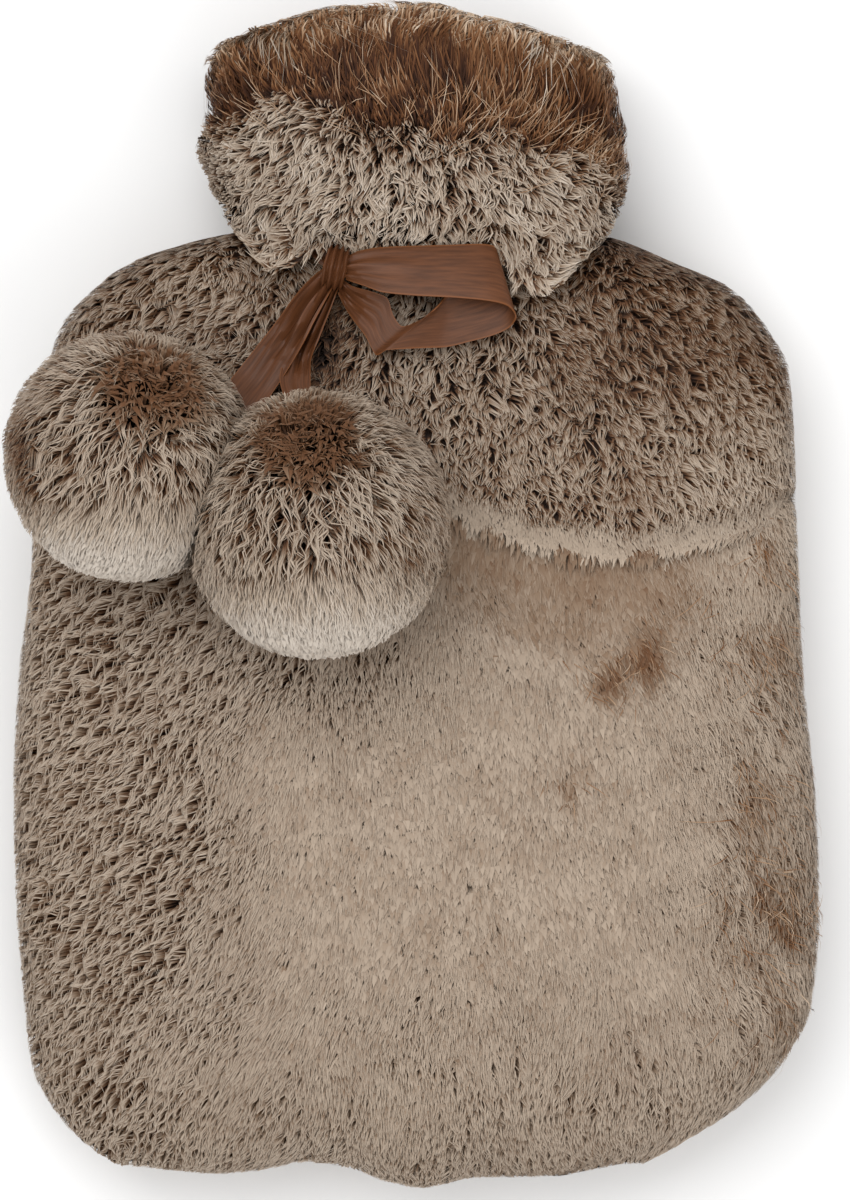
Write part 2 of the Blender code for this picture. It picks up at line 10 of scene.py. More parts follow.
import bmesh
import bpy
import numpy as np
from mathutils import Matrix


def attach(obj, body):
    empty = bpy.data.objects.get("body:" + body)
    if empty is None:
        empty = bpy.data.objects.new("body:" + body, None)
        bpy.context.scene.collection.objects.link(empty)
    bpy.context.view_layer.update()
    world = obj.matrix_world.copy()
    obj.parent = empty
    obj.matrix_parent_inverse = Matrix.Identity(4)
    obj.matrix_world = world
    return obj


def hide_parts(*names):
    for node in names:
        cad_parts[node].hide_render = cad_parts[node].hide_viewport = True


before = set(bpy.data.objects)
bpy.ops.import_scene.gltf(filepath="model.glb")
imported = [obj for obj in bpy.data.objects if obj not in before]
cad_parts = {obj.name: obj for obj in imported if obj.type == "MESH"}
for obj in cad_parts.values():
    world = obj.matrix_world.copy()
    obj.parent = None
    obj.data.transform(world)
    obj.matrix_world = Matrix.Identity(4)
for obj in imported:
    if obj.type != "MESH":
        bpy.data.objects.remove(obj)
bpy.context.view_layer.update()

MM = 0.001

# The cover's form, as its solids have it.
SEAM_HEIGHT = 30 * MM
SEAM_GAP = 0.3 * MM
PILE_FRONT = 13 * MM
PILE_SIDE = 15 * MM
PILE_BACK = 8 * MM
PILE_NECK = 5 * MM
NECK_RIM = 150 * MM
BOTTOM_ROUND = 52 * MM
HEM_SPREAD = 1.5
FRONT_SQUARENESS = 2.7
BACK_SQUARENESS = 3.2
BACK_PRESS = 1.08
LAP = 35 * MM
LAP_SHARE = 0.58
LAP_GAP = 0.06
LAP_DIP = 48 * MM
LAP_LIP = 0.30
LAP_LIP_REACH = 9 * MM
LAP_OVERHANG = 7 * MM  # the upper panel's hairs fall past its edge over this length
COLLAR_LOOSE = 3.6 * MM
COLLAR_HEM = 8 * MM
COLLAR_BACK_HEM = 113 * MM
COLLAR_SIDE_HEM = 121 * MM
NECK_STRAIGHT = 120 * MM
COLLAR_TOP = 182.7 * MM
COLLAR_SIDE_DROP = 9 * MM
COLLAR_RIGHT_DROP = 3.5 * MM
COLLAR_LIP = 0.40  # how deep its pile is rounded off at the hem, as a share of its wall
COLLAR_LIP_REACH = 7 * MM
COLLAR_SWELL = 0.05  # how far its pile swells and sinks in soft waves
NECK_THIN = (92 * MM, 116 * MM)  # the wall thins from that of the body to that of the neck between these
LUMP_HEIGHT = 1.3 * MM
LUMP_SIZES = (27 * MM, 12 * MM)
LUMPS_END = (64 * MM, 80 * MM)  # the lumps die out between these stations, under the collar and the ribbon
CLOTH_SHARE = 0.12  # the cloth's share of a wall of cloth and pile

# along, left, right, front, back: the outline and depth at each station along the cover
BODY = MM * np.array(
    [
        (-184, -66, 46, 38, 30),
        (-176, -91, 68, 38, 30),
        (-167, -104, 85, 38, 30),
        (-155, -114, 103, 38, 30),
        (-143, -119.5, 114.5, 38, 30),
        (-125, -121.5, 123.5, 38, 30),
        (-95, -124, 125.8, 38.5, 30),
        (-60, -125, 124.5, 38.5, 30),
        (-25, -123.5, 121, 38.5, 30),
        (10, -119.5, 119.3, 38, 30),
        (45, -118, 118, 37.5, 30),
        (70, -115, 116.5, 36.5, 30),
        (86, -109.5, 108.5, 35, 29),
        (97, -99.5, 98, 32, 27),
        (105, -88, 80, 29, 24.5),
        (111, -70, 66, 26.5, 22),
        (116, -51, 51, 24.8, 20.6),
        (124, -45, 45, 24, 20),
        (152, -45, 45, 24, 20),
    ]
)
# across, along: the bottom edge, and the lower edge of the upper front panel
BOTTOM = MM * np.array(
    [
        (-90, -175.5), (-66, -178), (-48, -176.7), (-33, -174.4), (-20, -176), (-8, -180.3),
        (7, -182.4), (27, -179.2), (52, -178.9), (68, -175),
    ]
)
LAP_EDGE = MM * np.array([(-118, 33), (-60, 34), (5, 29), (38, 18.5), (63, 15), (92, 19), (118, 27)])
# along, left, right, front, back: the collar
COLLAR = MM * np.array(
    [
        (86, -52, 58, 42, 29),
        (101, -54.5, 61, 43, 30),
        (113, -60.5, 65.5, 44, 30),
        (126, -63, 66.3, 44, 30),
        (141, -66.8, 65.5, 43, 30),
        (152, -64.5, 63.5, 42, 30),
        (163, -65, 61.5, 39, 29),
        (171, -63, 58, 35, 27),
        (184, -58, 52, 30, 24),
    ]
)
# share of the half width from the left side to the right, along: the collar's front hem
COLLAR_HEM_LINE = np.array(
    [
        (-1, 121), (-0.95, 111), (-0.86, 102.5), (-0.68, 104.5), (-0.56, 109.8), (0.42, 109.5),
        (0.58, 98), (0.72, 96), (0.86, 102), (0.95, 111), (1, 121),
    ]
) * (1, MM)
# run, drop below the top, depth in the collar's wall: 0 is its outside, 1 the neck's outside and 2 the mouth
FOLD_TIPS = np.array(
    [
        (1.0, -22, 0.0), (1.2, -9, 0.03), (1.35, -2.5, 0.25), (1.5, 0, 0.85), (1.65, -3, 1.45),
        (1.8, -12, 1.85), (2.0, -32.4, 2.0),
    ]
) * (1, MM, 1)
FOLD_CLOTH = np.array(
    [
        (1.0, -24, 0.72), (1.2, -18, 0.78), (1.35, -14.5, 0.92), (1.5, -13, 1.1),
        (1.65, -14.5, 1.28), (1.8, -20, 1.5), (2.0, -32.4, 1.74),
    ]
) * (1, MM, 1)
# centre across, along and up, radius
POMPOMS = {
    "pompom_left": (-87.5 * MM, 44.5 * MM, 87 * MM, 37.7 * MM),
    "pompom_front": (-29.8 * MM, 23.6 * MM, 93.6 * MM, 40.3 * MM),
}
POMPOM_CORE = 0.45  # the radius of the ball of yarn ends that the hairs grow from, as a share of the whole
POMPOM_GAP = 0.3 * MM  # between a ball and the plane where it meets its twin
POMPOM_LIFT = 0.5 * MM  # over the cover's fur

# where each ball's hairs part: the direction from its centre
POLES = {"pompom_left": (0.28, 0.58, 0.77), "pompom_front": (-0.10, 0.68, 0.72)}
POLES = {name: np.array(way) / np.linalg.norm(way) for name, way in POLES.items()}

# How the pile is combed.
FAN_LEFT = math.radians(34)  # the body's pile leans this far outwards at its left side
FAN_RIGHT = math.radians(9)
FAN_SHOULDER = math.radians(24)  # and this much more on the right shoulder
PARTING_CELL = 3.2 * MM  # one short parting in each square of this size
PARTING_HALF = 1.0 * MM  # the half width of a parting at full strength
PARTING_SHORT = 1.8 * MM  # the half length of the shortest parting
PARTING_MORE = 3.6 * MM  # and what the longest has more
PARTING_WIDE = 0.93  # partings whose last chance is above this are much wider
PARTING_PUSH = 3  # how many half widths from its line the hairs are moved
HAIR_LIFT = 3.2  # how early a hair rises: the power of what is left of it
HAIR_LAY = 1.6  # how late it leans over
HAIR_GATHER = 1.3  # how late a tuft's hairs draw together
GATHER_UNEVEN = 0.08  # how much tufts differ in that
HAIR_WIDTHS = (0.7, 1.3)  # the thinnest and the thickest hair, as shares of the coat's width
BLADE_SHAPE = {3: np.array([0, 1, 0]), 4: np.array([0, 0.9, 1, 0])}  # a hair's width at its stations
BLADE_STATIONS = {3: np.array([0, 0.68, 1]), 4: np.array([0, 0.45, 0.78, 1])}

# Steps for slopes, and the least length that is divided by.
TURN_STEP = 0.002
RUN_STEP = 0.25 * MM
NO_LENGTH = 1e-12

# The photograph's frame.
PICTURE = (850, 1200)
PICTURE_PITCH = 0.31 * MM  # a pixel, at the height of the side seam
PICTURE_ZERO = (415, 601)  # the pixel over the origin
CAMERA_HEIGHT = 4.0
SENSOR = 36.0


def smooth_through(table, at, column):
    """The table's column at those places along it, on a cubic through every row that never overshoots."""
    x, y = table[:, 0], table[:, column]
    run, rise = np.diff(x), np.diff(y)
    slope = rise / run
    same_way = slope[:-1] * slope[1:] > 0
    inner = np.where(same_way, 2 * slope[:-1] * slope[1:] / np.where(same_way, slope[:-1] + slope[1:], 1), 0)
    tangent = np.concatenate([[slope[0]], inner, [slope[-1]]])
    at = np.clip(at, x[0], x[-1])
    i = np.clip(np.searchsorted(x, at, side="right") - 1, 0, len(x) - 2)
    t = (at - x[i]) / run[i]
    return (
        y[i] * (1 + 2 * t) * (1 - t) ** 2
        + tangent[i] * run[i] * t * (1 - t) ** 2
        + y[i + 1] * t * t * (3 - 2 * t)
        - tangent[i + 1] * run[i] * t * t * (1 - t)
    )


def ease(value, start, end):
    """0 before start, 1 after end, and a smooth rise between them."""
    t = np.clip((value - start) / (end - start), 0, 1)
    return t * t * (3 - 2 * t)


def rounded(share, power):
    """The height of a rounded section at a share of its half width: a superellipse, from 0 to 1."""
    return np.clip(1 - np.abs(share) ** power, 0, 1) ** (1 / power)


def patchy(x, y, size, seed):
    """Soft random patches from -1 to 1: random values at the corners of squares, eased between them."""
    table = np.random.default_rng(seed).uniform(-1, 1, (64, 64))
    u, v = x / size, y / size
    i, j = np.floor(u).astype(int), np.floor(v).astype(int)
    s, t = (w * w * (3 - 2 * w) for w in (u - i, v - j))
    a, b, c, d = (table[(i + k) % 64, (j + m) % 64] for k, m in ((0, 0), (1, 0), (0, 1), (1, 1)))
    return (a * (1 - s) + b * s) * (1 - t) + (c * (1 - s) + d * s) * t


def length(vectors):
    """The lengths of vectors, kept as a last column."""
    return np.linalg.norm(vectors, axis=-1, keepdims=True)


def unit(vectors):
    """The vectors at a length of 1."""
    return vectors / np.maximum(length(vectors), NO_LENGTH)


def spot(x, y, middle, size):
    """A soft spot: 1 at its middle, falling by a bell curve of that half width and half height."""
    return np.exp(-(((x - middle[0]) / size[0]) ** 2) - ((y - middle[1]) / size[1]) ** 2)


# ---------------------------------------------------------------- surfaces


def hem_edge(across):
    """The bottom edge's station at those shares of the half width."""
    left, right = BODY[0, 1], BODY[0, 2]
    return smooth_through(BOTTOM, (left + right) / 2 + (right - left) / 2 * across * HEM_SPREAD, 1)


def seen(here):
    """Where points lie from above: across and along."""
    return here[..., 0], here[..., 1]


def lap_line(across):
    """The station of the upper front panel's lower edge at those shares of the half width."""
    return smooth_through(LAP_EDGE, LAP_EDGE[-1, 0] * across, 1)


def wall_depth(along, at_body):
    """A wall's thickness: that of the body up to the shoulders, and thin under the collar."""
    return at_body + (PILE_NECK - at_body) * ease(along, *NECK_THIN)


def side_of(turn):
    """The share across at those turns, and whether they are on the front."""
    return np.cos(turn), np.sin(turn) >= 0


def section(table, along, front):
    """A table's outline at those stations: middle, half width, and rise to the front or the back."""
    left, right = (smooth_through(table, along, k) for k in (1, 2))
    rise = np.where(front, smooth_through(table, along, 3), smooth_through(table, along, 4))
    return (left + right) / 2, (right - left) / 2, rise


def body_point(across, along, opened, front, inside):
    """A point of the cover's outer or inner face: half a superellipse over the side seam, or under it."""
    middle, half, rise = section(BODY, along, front)
    if inside:
        half = half - wall_depth(along, PILE_SIDE)
        rise = rise - wall_depth(along, np.where(front, PILE_FRONT, PILE_BACK))
    resting = SEAM_HEIGHT - SEAM_GAP / 2
    up = SEAM_HEIGHT + SEAM_GAP / 2 + rise * opened * rounded(across, FRONT_SQUARENESS)
    down = rise * np.minimum(BACK_PRESS * opened * rounded(across, BACK_SQUARENESS), 1)
    height = np.where(front, up, resting - np.minimum(down, resting))
    return np.stack(np.broadcast_arrays(middle + half * across, along, height), axis=-1)


def body_wall(turn, run):
    """The cover's outer and inner face, and the station, at a turn round it and a run up it from the bottom.

    The share across is the cosine of the turn. The bottom is a quarter of an ellipse, whose angle is the run
    over its reach, and above it the run is a plain distance. A run below zero goes on under the cover.
    """
    turn = np.where(run < 0, -turn, turn)
    run = np.abs(run)
    across, front = side_of(turn)
    angle = np.minimum(run / BOTTOM_ROUND, math.pi / 2)
    above = run - BOTTOM_ROUND * angle
    edge = hem_edge(across)
    outer_along = edge + BOTTOM_ROUND * (1 - np.cos(angle)) + above
    inner_along = edge + PILE_SIDE + (BOTTOM_ROUND - PILE_SIDE) * (1 - np.cos(angle)) + above
    outer = body_point(across, outer_along, np.sin(angle), front, inside=False)
    inner = body_point(across, inner_along, np.sin(angle), front, inside=True)
    return outer, inner, outer_along, across


def run_at(turn, along):
    """The run at which a station above the bottom's rounding lies."""
    return along - hem_edge(np.cos(turn)) - BOTTOM_ROUND + BOTTOM_ROUND * math.pi / 2


def lumps(points):
    """Soft uneven lumps in the pile, calm at the seam and where something lies on the fur."""
    x, y, z = (points[..., k] for k in range(3))
    uneven = 0.6 * patchy(x, y, LUMP_SIZES[0], 1) + 0.4 * patchy(x, y, LUMP_SIZES[1], 2)
    calm = (1 - ease(y, *LUMPS_END)) * ease(z, SEAM_HEIGHT + 1 * MM, SEAM_HEIGHT + 14 * MM)
    for cx, cy, _, radius in POMPOMS.values():
        calm = calm * ease(np.hypot(x - cx, y - cy), radius * 0.95, radius * 1.35)
    return LUMP_HEIGHT * uneven * calm


def through(outer, inner, share):
    """The point at a share of the way from the outer face to the inner one."""
    return outer + (inner - outer) * np.asarray(share)[..., None]


def raised(points, amount):
    """Points moved up."""
    return points + np.stack(np.broadcast_arrays(0, 0, amount), axis=-1)


def front_lower(turn, run, deep):
    """The lower front panel, which dips towards the lap and is tucked under the upper panel."""
    outer, inner, along, across = body_wall(turn, run)
    lap = lap_line(across)
    top = (LAP_SHARE + LAP_GAP) * ease(along, lap - LAP_DIP, lap - 2 * MM) * ease(np.sin(turn), 0.05, 0.45)
    lumpy = (1 - ease(along, lap - 20 * MM, lap - 5 * MM)) * (1 - deep)
    share = top + (1 - CLOTH_SHARE - top) * deep
    return raised(through(outer, inner, share), lumps(outer) * lumpy * rounded(across, 2))


def front_upper(turn, run, deep):
    """The upper front panel, whose pile is rounded off at the lap's edge and falls past it a little."""
    outer, inner, along, across = body_wall(turn, run)
    lap = lap_line(across)
    lip = LAP_LIP * (1 - ease(along, lap, lap + LAP_LIP_REACH))
    lip = lip + (LAP_SHARE - LAP_LIP) * ease(lap - along, 0, LAP_OVERHANG)
    under = LAP_SHARE + (1 - LAP_SHARE) * ease(along, lap + LAP, lap + LAP + 8 * MM)
    cloth = under - CLOTH_SHARE
    share = lip + (cloth - lip) * deep
    return raised(through(outer, inner, share), lumps(outer) * (1 - deep) * rounded(across, 2))


def back(turn, run, deep):
    """The back panel, pressed flat where it rests."""
    outer, inner, _, _ = body_wall(turn, run)
    return through(outer, inner, (1 - CLOTH_SHARE) * np.asarray(deep))


def fur_height(x, y, front=True):
    """The height of the cover's outer face over a point of the floor, and the seam's past its outline."""
    middle, half, _ = section(BODY, y, front)
    share = np.clip((x - middle) / half, -1, 1)
    opened = np.sqrt(1 - (1 - np.clip((y - hem_edge(share)) / BOTTOM_ROUND, 0, 1)) ** 2)
    return body_point(share, y, opened, np.full(np.shape(share), front), inside=False)[..., 2]


def standing_off(x, along, front, away):
    """The point over or under the side seam's height by those distances, to the front or the back."""
    return np.stack(np.broadcast_arrays(x, along, SEAM_HEIGHT + np.where(front, away, -away)), axis=-1)


def off_seam(x, along, front):
    """How far the cover's outer face stands off the side seam's height, to the front or the back."""
    return np.where(front, 1, -1) * (fur_height(x, along, front) - SEAM_HEIGHT)


def neck_shape(across, front):
    """The rounding of the neck's and the collar's section, squarer at the back."""
    return np.where(front, rounded(across, FRONT_SQUARENESS), BACK_PRESS * rounded(across, BACK_SQUARENESS))


def neck_point(turn, along, off):
    """A point a distance off the neck, or off the shoulders where a station lies below it."""
    across, front = side_of(turn)
    middle, half, rise = section(BODY, np.maximum(along, NECK_STRAIGHT), front)
    x = middle + (half + off) * across
    away = np.maximum((rise + off) * neck_shape(across, front), off_seam(x, along, front) + off)
    return standing_off(x, along, front, away)


def collar_outside(turn, along):
    """A point of the collar's outer face, which keeps a hem's thickness over the shoulders."""
    across, front = side_of(turn)
    middle, half, rise = section(COLLAR, along, front)
    x = middle + half * across
    shoulder = off_seam(x, along, front)
    over = shoulder + (COLLAR_LOOSE + COLLAR_HEM) * ease(shoulder, 0, 10 * MM)
    away = np.maximum(rise * neck_shape(across, front), over)
    return standing_off(x, along, front, np.where(front, away, np.minimum(away, SEAM_HEIGHT)))


def mouth_point(turn, along):
    """A point of the neck's inner face, carried on up through the collar."""
    across, front = side_of(turn)
    rim = body_point(across, NECK_RIM + 0 * along, 1.0, front, inside=True)
    return np.stack([rim[..., 0], along, rim[..., 2]], axis=-1)


def in_collar(turn, along, depth):
    """A point at a depth of the collar's wall: 0 outside, 1 on the neck's outside, 2 in the mouth."""
    tight = ease(along, 139 * MM, NECK_RIM - 3 * MM)
    neck = neck_point(turn, along, COLLAR_LOOSE + (SEAM_GAP - COLLAR_LOOSE) * tight)
    outside, mouth = collar_outside(turn, along), mouth_point(turn, along)
    depth = depth[..., None]
    return np.where(depth <= 1, outside + (neck - outside) * depth, neck + (mouth - neck) * (depth - 1))


def collar_hem(turn):
    """The station of the collar's hem."""
    across = np.cos(turn)
    front_hem = smooth_through(COLLAR_HEM_LINE, across, 1)
    back_hem = COLLAR_BACK_HEM + (COLLAR_SIDE_HEM - COLLAR_BACK_HEM) * across**8
    return np.where(np.sin(turn) >= 0, front_hem, back_hem)


def collar_top(turn):
    """The station of the collar's top."""
    across = np.cos(turn)
    return COLLAR_TOP - COLLAR_SIDE_DROP * np.abs(across) ** 3 - COLLAR_RIGHT_DROP * ease(across, 0.05, 0.55)


def collar(turn, run, deep):
    """The folded collar: its run is 0 at the hem, 1 where the fold starts, 1.5 at its top, 2 in the mouth.

    Up to the fold the pile is rounded off at the hem and swells in waves, and the cloth keeps one depth. Past
    it both follow the fold's tables.
    """
    turn, run, deep = np.broadcast_arrays(turn, run, deep)
    hem, top = collar_hem(turn), collar_top(turn)

    def station(table):
        return hem + (top + table[0, 1] - hem) * run

    def folded(table, before):
        up = np.where(run < 1, station(table), top + smooth_through(table, run, 1))
        return in_collar(turn, up, np.where(run < 1, before, smooth_through(table, run, 2)))

    up = station(FOLD_TIPS)
    from_hem = up - hem
    lip = COLLAR_LIP * (1 - ease(from_hem, 0, COLLAR_LIP_REACH)) + 0.5 * ease(-from_hem, 0, COLLAR_LIP_REACH)
    swell = COLLAR_SWELL * np.sin(5 * turn + 260 * up) * np.sin(190 * up + 2.5 * np.cos(turn))
    swell = swell * ease(from_hem, 0, 10 * MM) * ease(1 - run, 0, 0.2)
    return through(folded(FOLD_TIPS, lip + swell), folded(FOLD_CLOTH, FOLD_CLOTH[0, 2]), deep)


def pompom_point(name, out, deep):
    """A point of a fur ball in a direction from its centre, from its tips to its core.

    It is flat where it lies on the cover and against its twin.
    """
    twin = next(n for n in POMPOMS if n != name)
    *centre, radius = POMPOMS[name]
    *other, other_radius = POMPOMS[twin]
    centre, other = np.array(centre), np.array(other)
    span = np.linalg.norm(other - centre)
    towards = (other - centre) / span
    reach = span * radius / (radius + other_radius) - POMPOM_GAP
    tips = centre + out * radius
    tips = tips - towards * np.maximum((tips - centre) @ towards - reach, 0)[..., None]
    floor = fur_height(*seen(tips)) + POMPOM_LIFT
    tips = np.concatenate([tips[..., :2], np.maximum(tips[..., 2], floor)[..., None]], axis=-1)
    core = centre + (tips - centre) * POMPOM_CORE
    return tips + (core - tips) * deep


def pompom(name):
    """The surface of a fur ball. Its turn goes round the pole and its run from it, both in radians.

    The pole is where its hairs part, and points up and to the side that the table of poles gives.
    """
    pole = POLES[name]
    side = np.cross(pole, (0.0, 1.0, 0.0))
    side = side / np.linalg.norm(side)
    ahead = np.cross(side, pole)

    def surface(turn, run, deep):
        turn, run, deep = (a[..., None] for a in np.broadcast_arrays(turn, run, deep))
        out = pole * np.cos(run) + (side * np.cos(turn) + ahead * np.sin(turn)) * np.sin(run)
        return pompom_point(name, out, deep)

    return surface


def pompom_core(name, material):
    """The lumpy ball of tied yarn that a fur ball's hairs grow from."""
    ball = bmesh.new()
    bmesh.ops.create_icosphere(ball, subdivisions=4, radius=1.0)
    mesh = bpy.data.meshes.new(name + "_core")
    ball.to_mesh(mesh)
    ball.free()
    out = np.empty(len(mesh.vertices) * 3, np.float32)
    mesh.vertices.foreach_get("co", out)
    out = out.reshape(-1, 3).astype(float)
    lumpy = 0.03 * np.sin(14 * out[:, 0] + 3 * out[:, 2]) * np.sin(13 * out[:, 1]) * np.sin(15 * out[:, 2])
    points = pompom_point(name, out, (1 - lumpy)[:, None])
    mesh.vertices.foreach_set("co", points.astype(np.float32).ravel())
    mesh.shade_smooth()
    return linked(name + "_core", mesh, material)


# ---------------------------------------------------------------- hairs


def slopes(surface, turn, run):
    """The tips' surface at those places: its points, its two slopes and its outward normal."""
    none = np.zeros_like(turn)
    here = surface(turn, run, none)
    by_turn = (surface(turn + TURN_STEP, run, none) - surface(turn - TURN_STEP, run, none)) / (2 * TURN_STEP)
    by_run = (surface(turn, run + RUN_STEP, none) - surface(turn, run - RUN_STEP, none)) / (2 * RUN_STEP)
    normal = unit(np.cross(by_turn, by_run))
    outward = here - surface(turn, run, none + 1)
    normal = normal * np.sign((normal * outward).sum(axis=-1, keepdims=True))
    return here, by_turn, by_run, normal


def scatter(surface, turns, runs, spacing, wanted, chance):
    """Places spread evenly by area over a part of a surface, one for each square of the spacing.

    The part is cut into rows as high as the spacing, and each row into cells a quarter as wide. Running
    through the cells' areas, row after row, a place is put wherever another square's area is full, and then
    shaken by up to 0.4 of the spacing along the row and half of it across. wanted gives each cell's share.
    """
    probe_turn, probe_run = (np.linspace(*s, 40) for s in (turns, runs))
    grid = surface(*np.meshgrid(probe_turn, probe_run), np.zeros((40, 40)))
    across = length(np.diff(grid, axis=1)).sum(axis=1).max()
    up = length(np.diff(grid, axis=0)).sum(axis=0).max()
    columns, rows = max(int(4 * across / spacing), 1), max(int(up / spacing), 1)
    turn_size, run_size = (turns[1] - turns[0]) / columns, (runs[1] - runs[0]) / rows
    turn = turns[0] + turn_size * (np.arange(columns) + 0.5)
    run = runs[0] + run_size * (np.arange(rows) + 0.5)
    turn, run = np.meshgrid(turn, run)
    here, by_turn, by_run, _ = slopes(surface, turn, run)
    area = length(np.cross(by_turn, by_run))[..., 0] * turn_size * run_size * wanted(here, turn, run)
    filled = np.cumsum(area.ravel())
    count = int(filled[-1] / spacing**2)
    cell = np.searchsorted(filled, (np.arange(count) + chance.uniform(0, 1)) * filled[-1] / count)
    cell = np.minimum(cell, area.size - 1)
    shake = 0.4 * spacing / np.maximum(length(by_turn).ravel()[cell], 0.2 * spacing)
    turn = np.clip(turn.ravel()[cell] + shake * chance.uniform(-1, 1, count), *turns)
    run = run.ravel()[cell] + run_size * chance.uniform(-0.5, 0.5, count)
    return turn, run


def in_steps(by_turn, by_run, way):
    """The steps of turn and run that go that way along a surface, by least squares."""
    a, b, c = ((u * v).sum(axis=-1) for u, v in ((by_turn, by_turn), (by_turn, by_run), (by_run, by_run)))
    p, q = ((way * u).sum(axis=-1) for u in (by_turn, by_run))
    size = np.maximum(a * c - b * b, 1e-12)
    return (c * p - b * q) / size, (a * q - b * p) / size


def comb(surface, places, coat, chance):
    """A coat's hairs: their paths, outward sides, shades, widths, and how far their colours fall to the root.

    Hairs stand in tufts. A tuft's hairs start round its place, lean over by the coat's comb, further and
    further towards the tip, and draw together by its gather. They rise from the cloth to the tips' surface
    early on.
    """
    turn, run = places
    here, by_turn, by_run, normal = slopes(surface, turn, run)
    way, reach, sunk, shade, parted = coat["comb"](here, normal, turn, run, chance)
    sunk = sunk + coat["sink"] * parted
    # parted pile is darker: partly its darker middles showing, partly painted shade in the partings
    shade = shade + coat["dull_and_painted_shade"] * parted
    whole, split = coat["gather"]
    gather = whole + (split - whole) * parted + chance.normal(0, GATHER_UNEVEN, len(turn))
    gather = np.clip(gather, 0, 0.95)
    way = way - normal * (way * normal).sum(axis=-1, keepdims=True)
    way = unit(way) * reach[:, None]
    lean_turn, lean_run = in_steps(by_turn, by_run, way)
    shape = (len(turn), coat["hairs"])
    angle = chance.uniform(0, 2 * math.pi, shape)
    radius = coat["spread"] * np.sqrt(chance.uniform(0, 1, shape))
    side_turn = radius * np.cos(angle) / np.maximum(length(by_turn), NO_LENGTH)
    side_run = radius * np.sin(angle) / np.maximum(length(by_run), NO_LENGTH)
    at = BLADE_STATIONS[coat["stations"]]
    drawn = 1 - gather[:, None, None] * at**HAIR_GATHER
    long = (1 + coat["uneven"] * chance.uniform(-1, 1, shape))[..., None] * at**HAIR_LAY
    stray = chance.normal(0, coat["stray"], (2, *shape, 1)) * at**2
    path_turn, path_run = (
        start[:, None, None] + side[..., None] * drawn + lean[:, None, None] * (long + stray[0])
        for start, side, lean in ((turn, side_turn, lean_turn), (run, side_run, lean_run))
    )
    path_turn = path_turn + stray[1] * (reach / np.maximum(length(by_turn)[:, 0], NO_LENGTH))[:, None, None]
    path_run = np.clip(path_run, *coat.get("hold", (-1e9, 1e9)))
    tip = sunk[:, None] + coat["ragged"] * (chance.uniform(0, 1, shape) - 0.4)
    deep = 1 - (1 - tip[..., None]) * (1 - (1 - at) ** HAIR_LIFT)
    paths = surface(path_turn, path_run, deep)
    width = coat["width"] * (1 - coat["slim"] * np.clip(parted, 0, 1))
    if coat["partings"]:
        aside = partings(paths, coat["partings"], width[:, None, None] / 2) * at[:, None] ** 2
        outward = normal[:, None, None, :]
        paths = paths + aside - outward * (aside * outward).sum(axis=-1, keepdims=True)
    shade = np.clip(shade[:, None] + coat["mottle"] * chance.normal(0, 1, shape), 0, 1)
    facing = np.broadcast_to(normal[:, None, :], (*shape, 3))
    calm_fade, parted_fade = coat["fade"]
    fade = calm_fade + (parted_fade - calm_fade) * np.clip(parted, 0, 1)
    return {
        "paths": paths.reshape(-1, len(at), 3),
        "facing": facing.reshape(-1, 3),
        "shade": shade.ravel(),
        "width": np.repeat(width, coat["hairs"]),
        "fade": np.repeat(fade, coat["hairs"]),
    }


PARTING_CHANCES = np.random.default_rng(7).uniform(0, 1, (64, 64, 6))


def partings(points, field, hair_half):
    """Sideways moves that open short partings in the pile: one lens at a random place of each square.

    The field gives a place's strength, the way its pile lies and how wildly its partings turn from that.
    Within three half widths of a parting's line a hair moves away from it, so that none is left inside the
    lens. The hair's own half width is added to the lens's, so that wide hairs open as much as narrow ones.
    """
    x, y = seen(points)
    column, row = (np.floor(v / PARTING_CELL).astype(int) for v in (x, y))
    moved = np.zeros(points.shape)
    for step in range(9):
        i, j = column + step % 3 - 1, row + step // 3 - 1
        dice = PARTING_CHANCES[i % 64, j % 64]
        at_x = (i + 0.5 + 0.9 * (dice[..., 0] - 0.5)) * PARTING_CELL
        at_y = (j + 0.5 + 0.9 * (dice[..., 1] - 0.5)) * PARTING_CELL
        strength, lie, wild = field(at_x, at_y)
        lie = lie + wild * (2 * dice[..., 2] - 1)
        along = (x - at_x) * np.sin(lie) - (y - at_y) * np.cos(lie)
        across = (x - at_x) * np.cos(lie) + (y - at_y) * np.sin(lie)
        half_long = PARTING_SHORT + PARTING_MORE * dice[..., 3] ** 2
        wide = 0.35 + 0.9 * dice[..., 4] + 1.0 * (dice[..., 5] > PARTING_WIDE)
        half_wide = PARTING_HALF * strength * wide
        half_wide = (half_wide + hair_half) * ease(half_wide, 0.2 * MM, 0.7 * MM)
        lens = half_wide * np.clip(1 - (along / half_long) ** 2, 0, 1)
        push = np.sign(across) * np.maximum(lens - np.abs(across) / PARTING_PUSH, 0)
        moved[..., 0] += push * np.cos(lie)
        moved[..., 1] += push * np.sin(lie)
    return moved


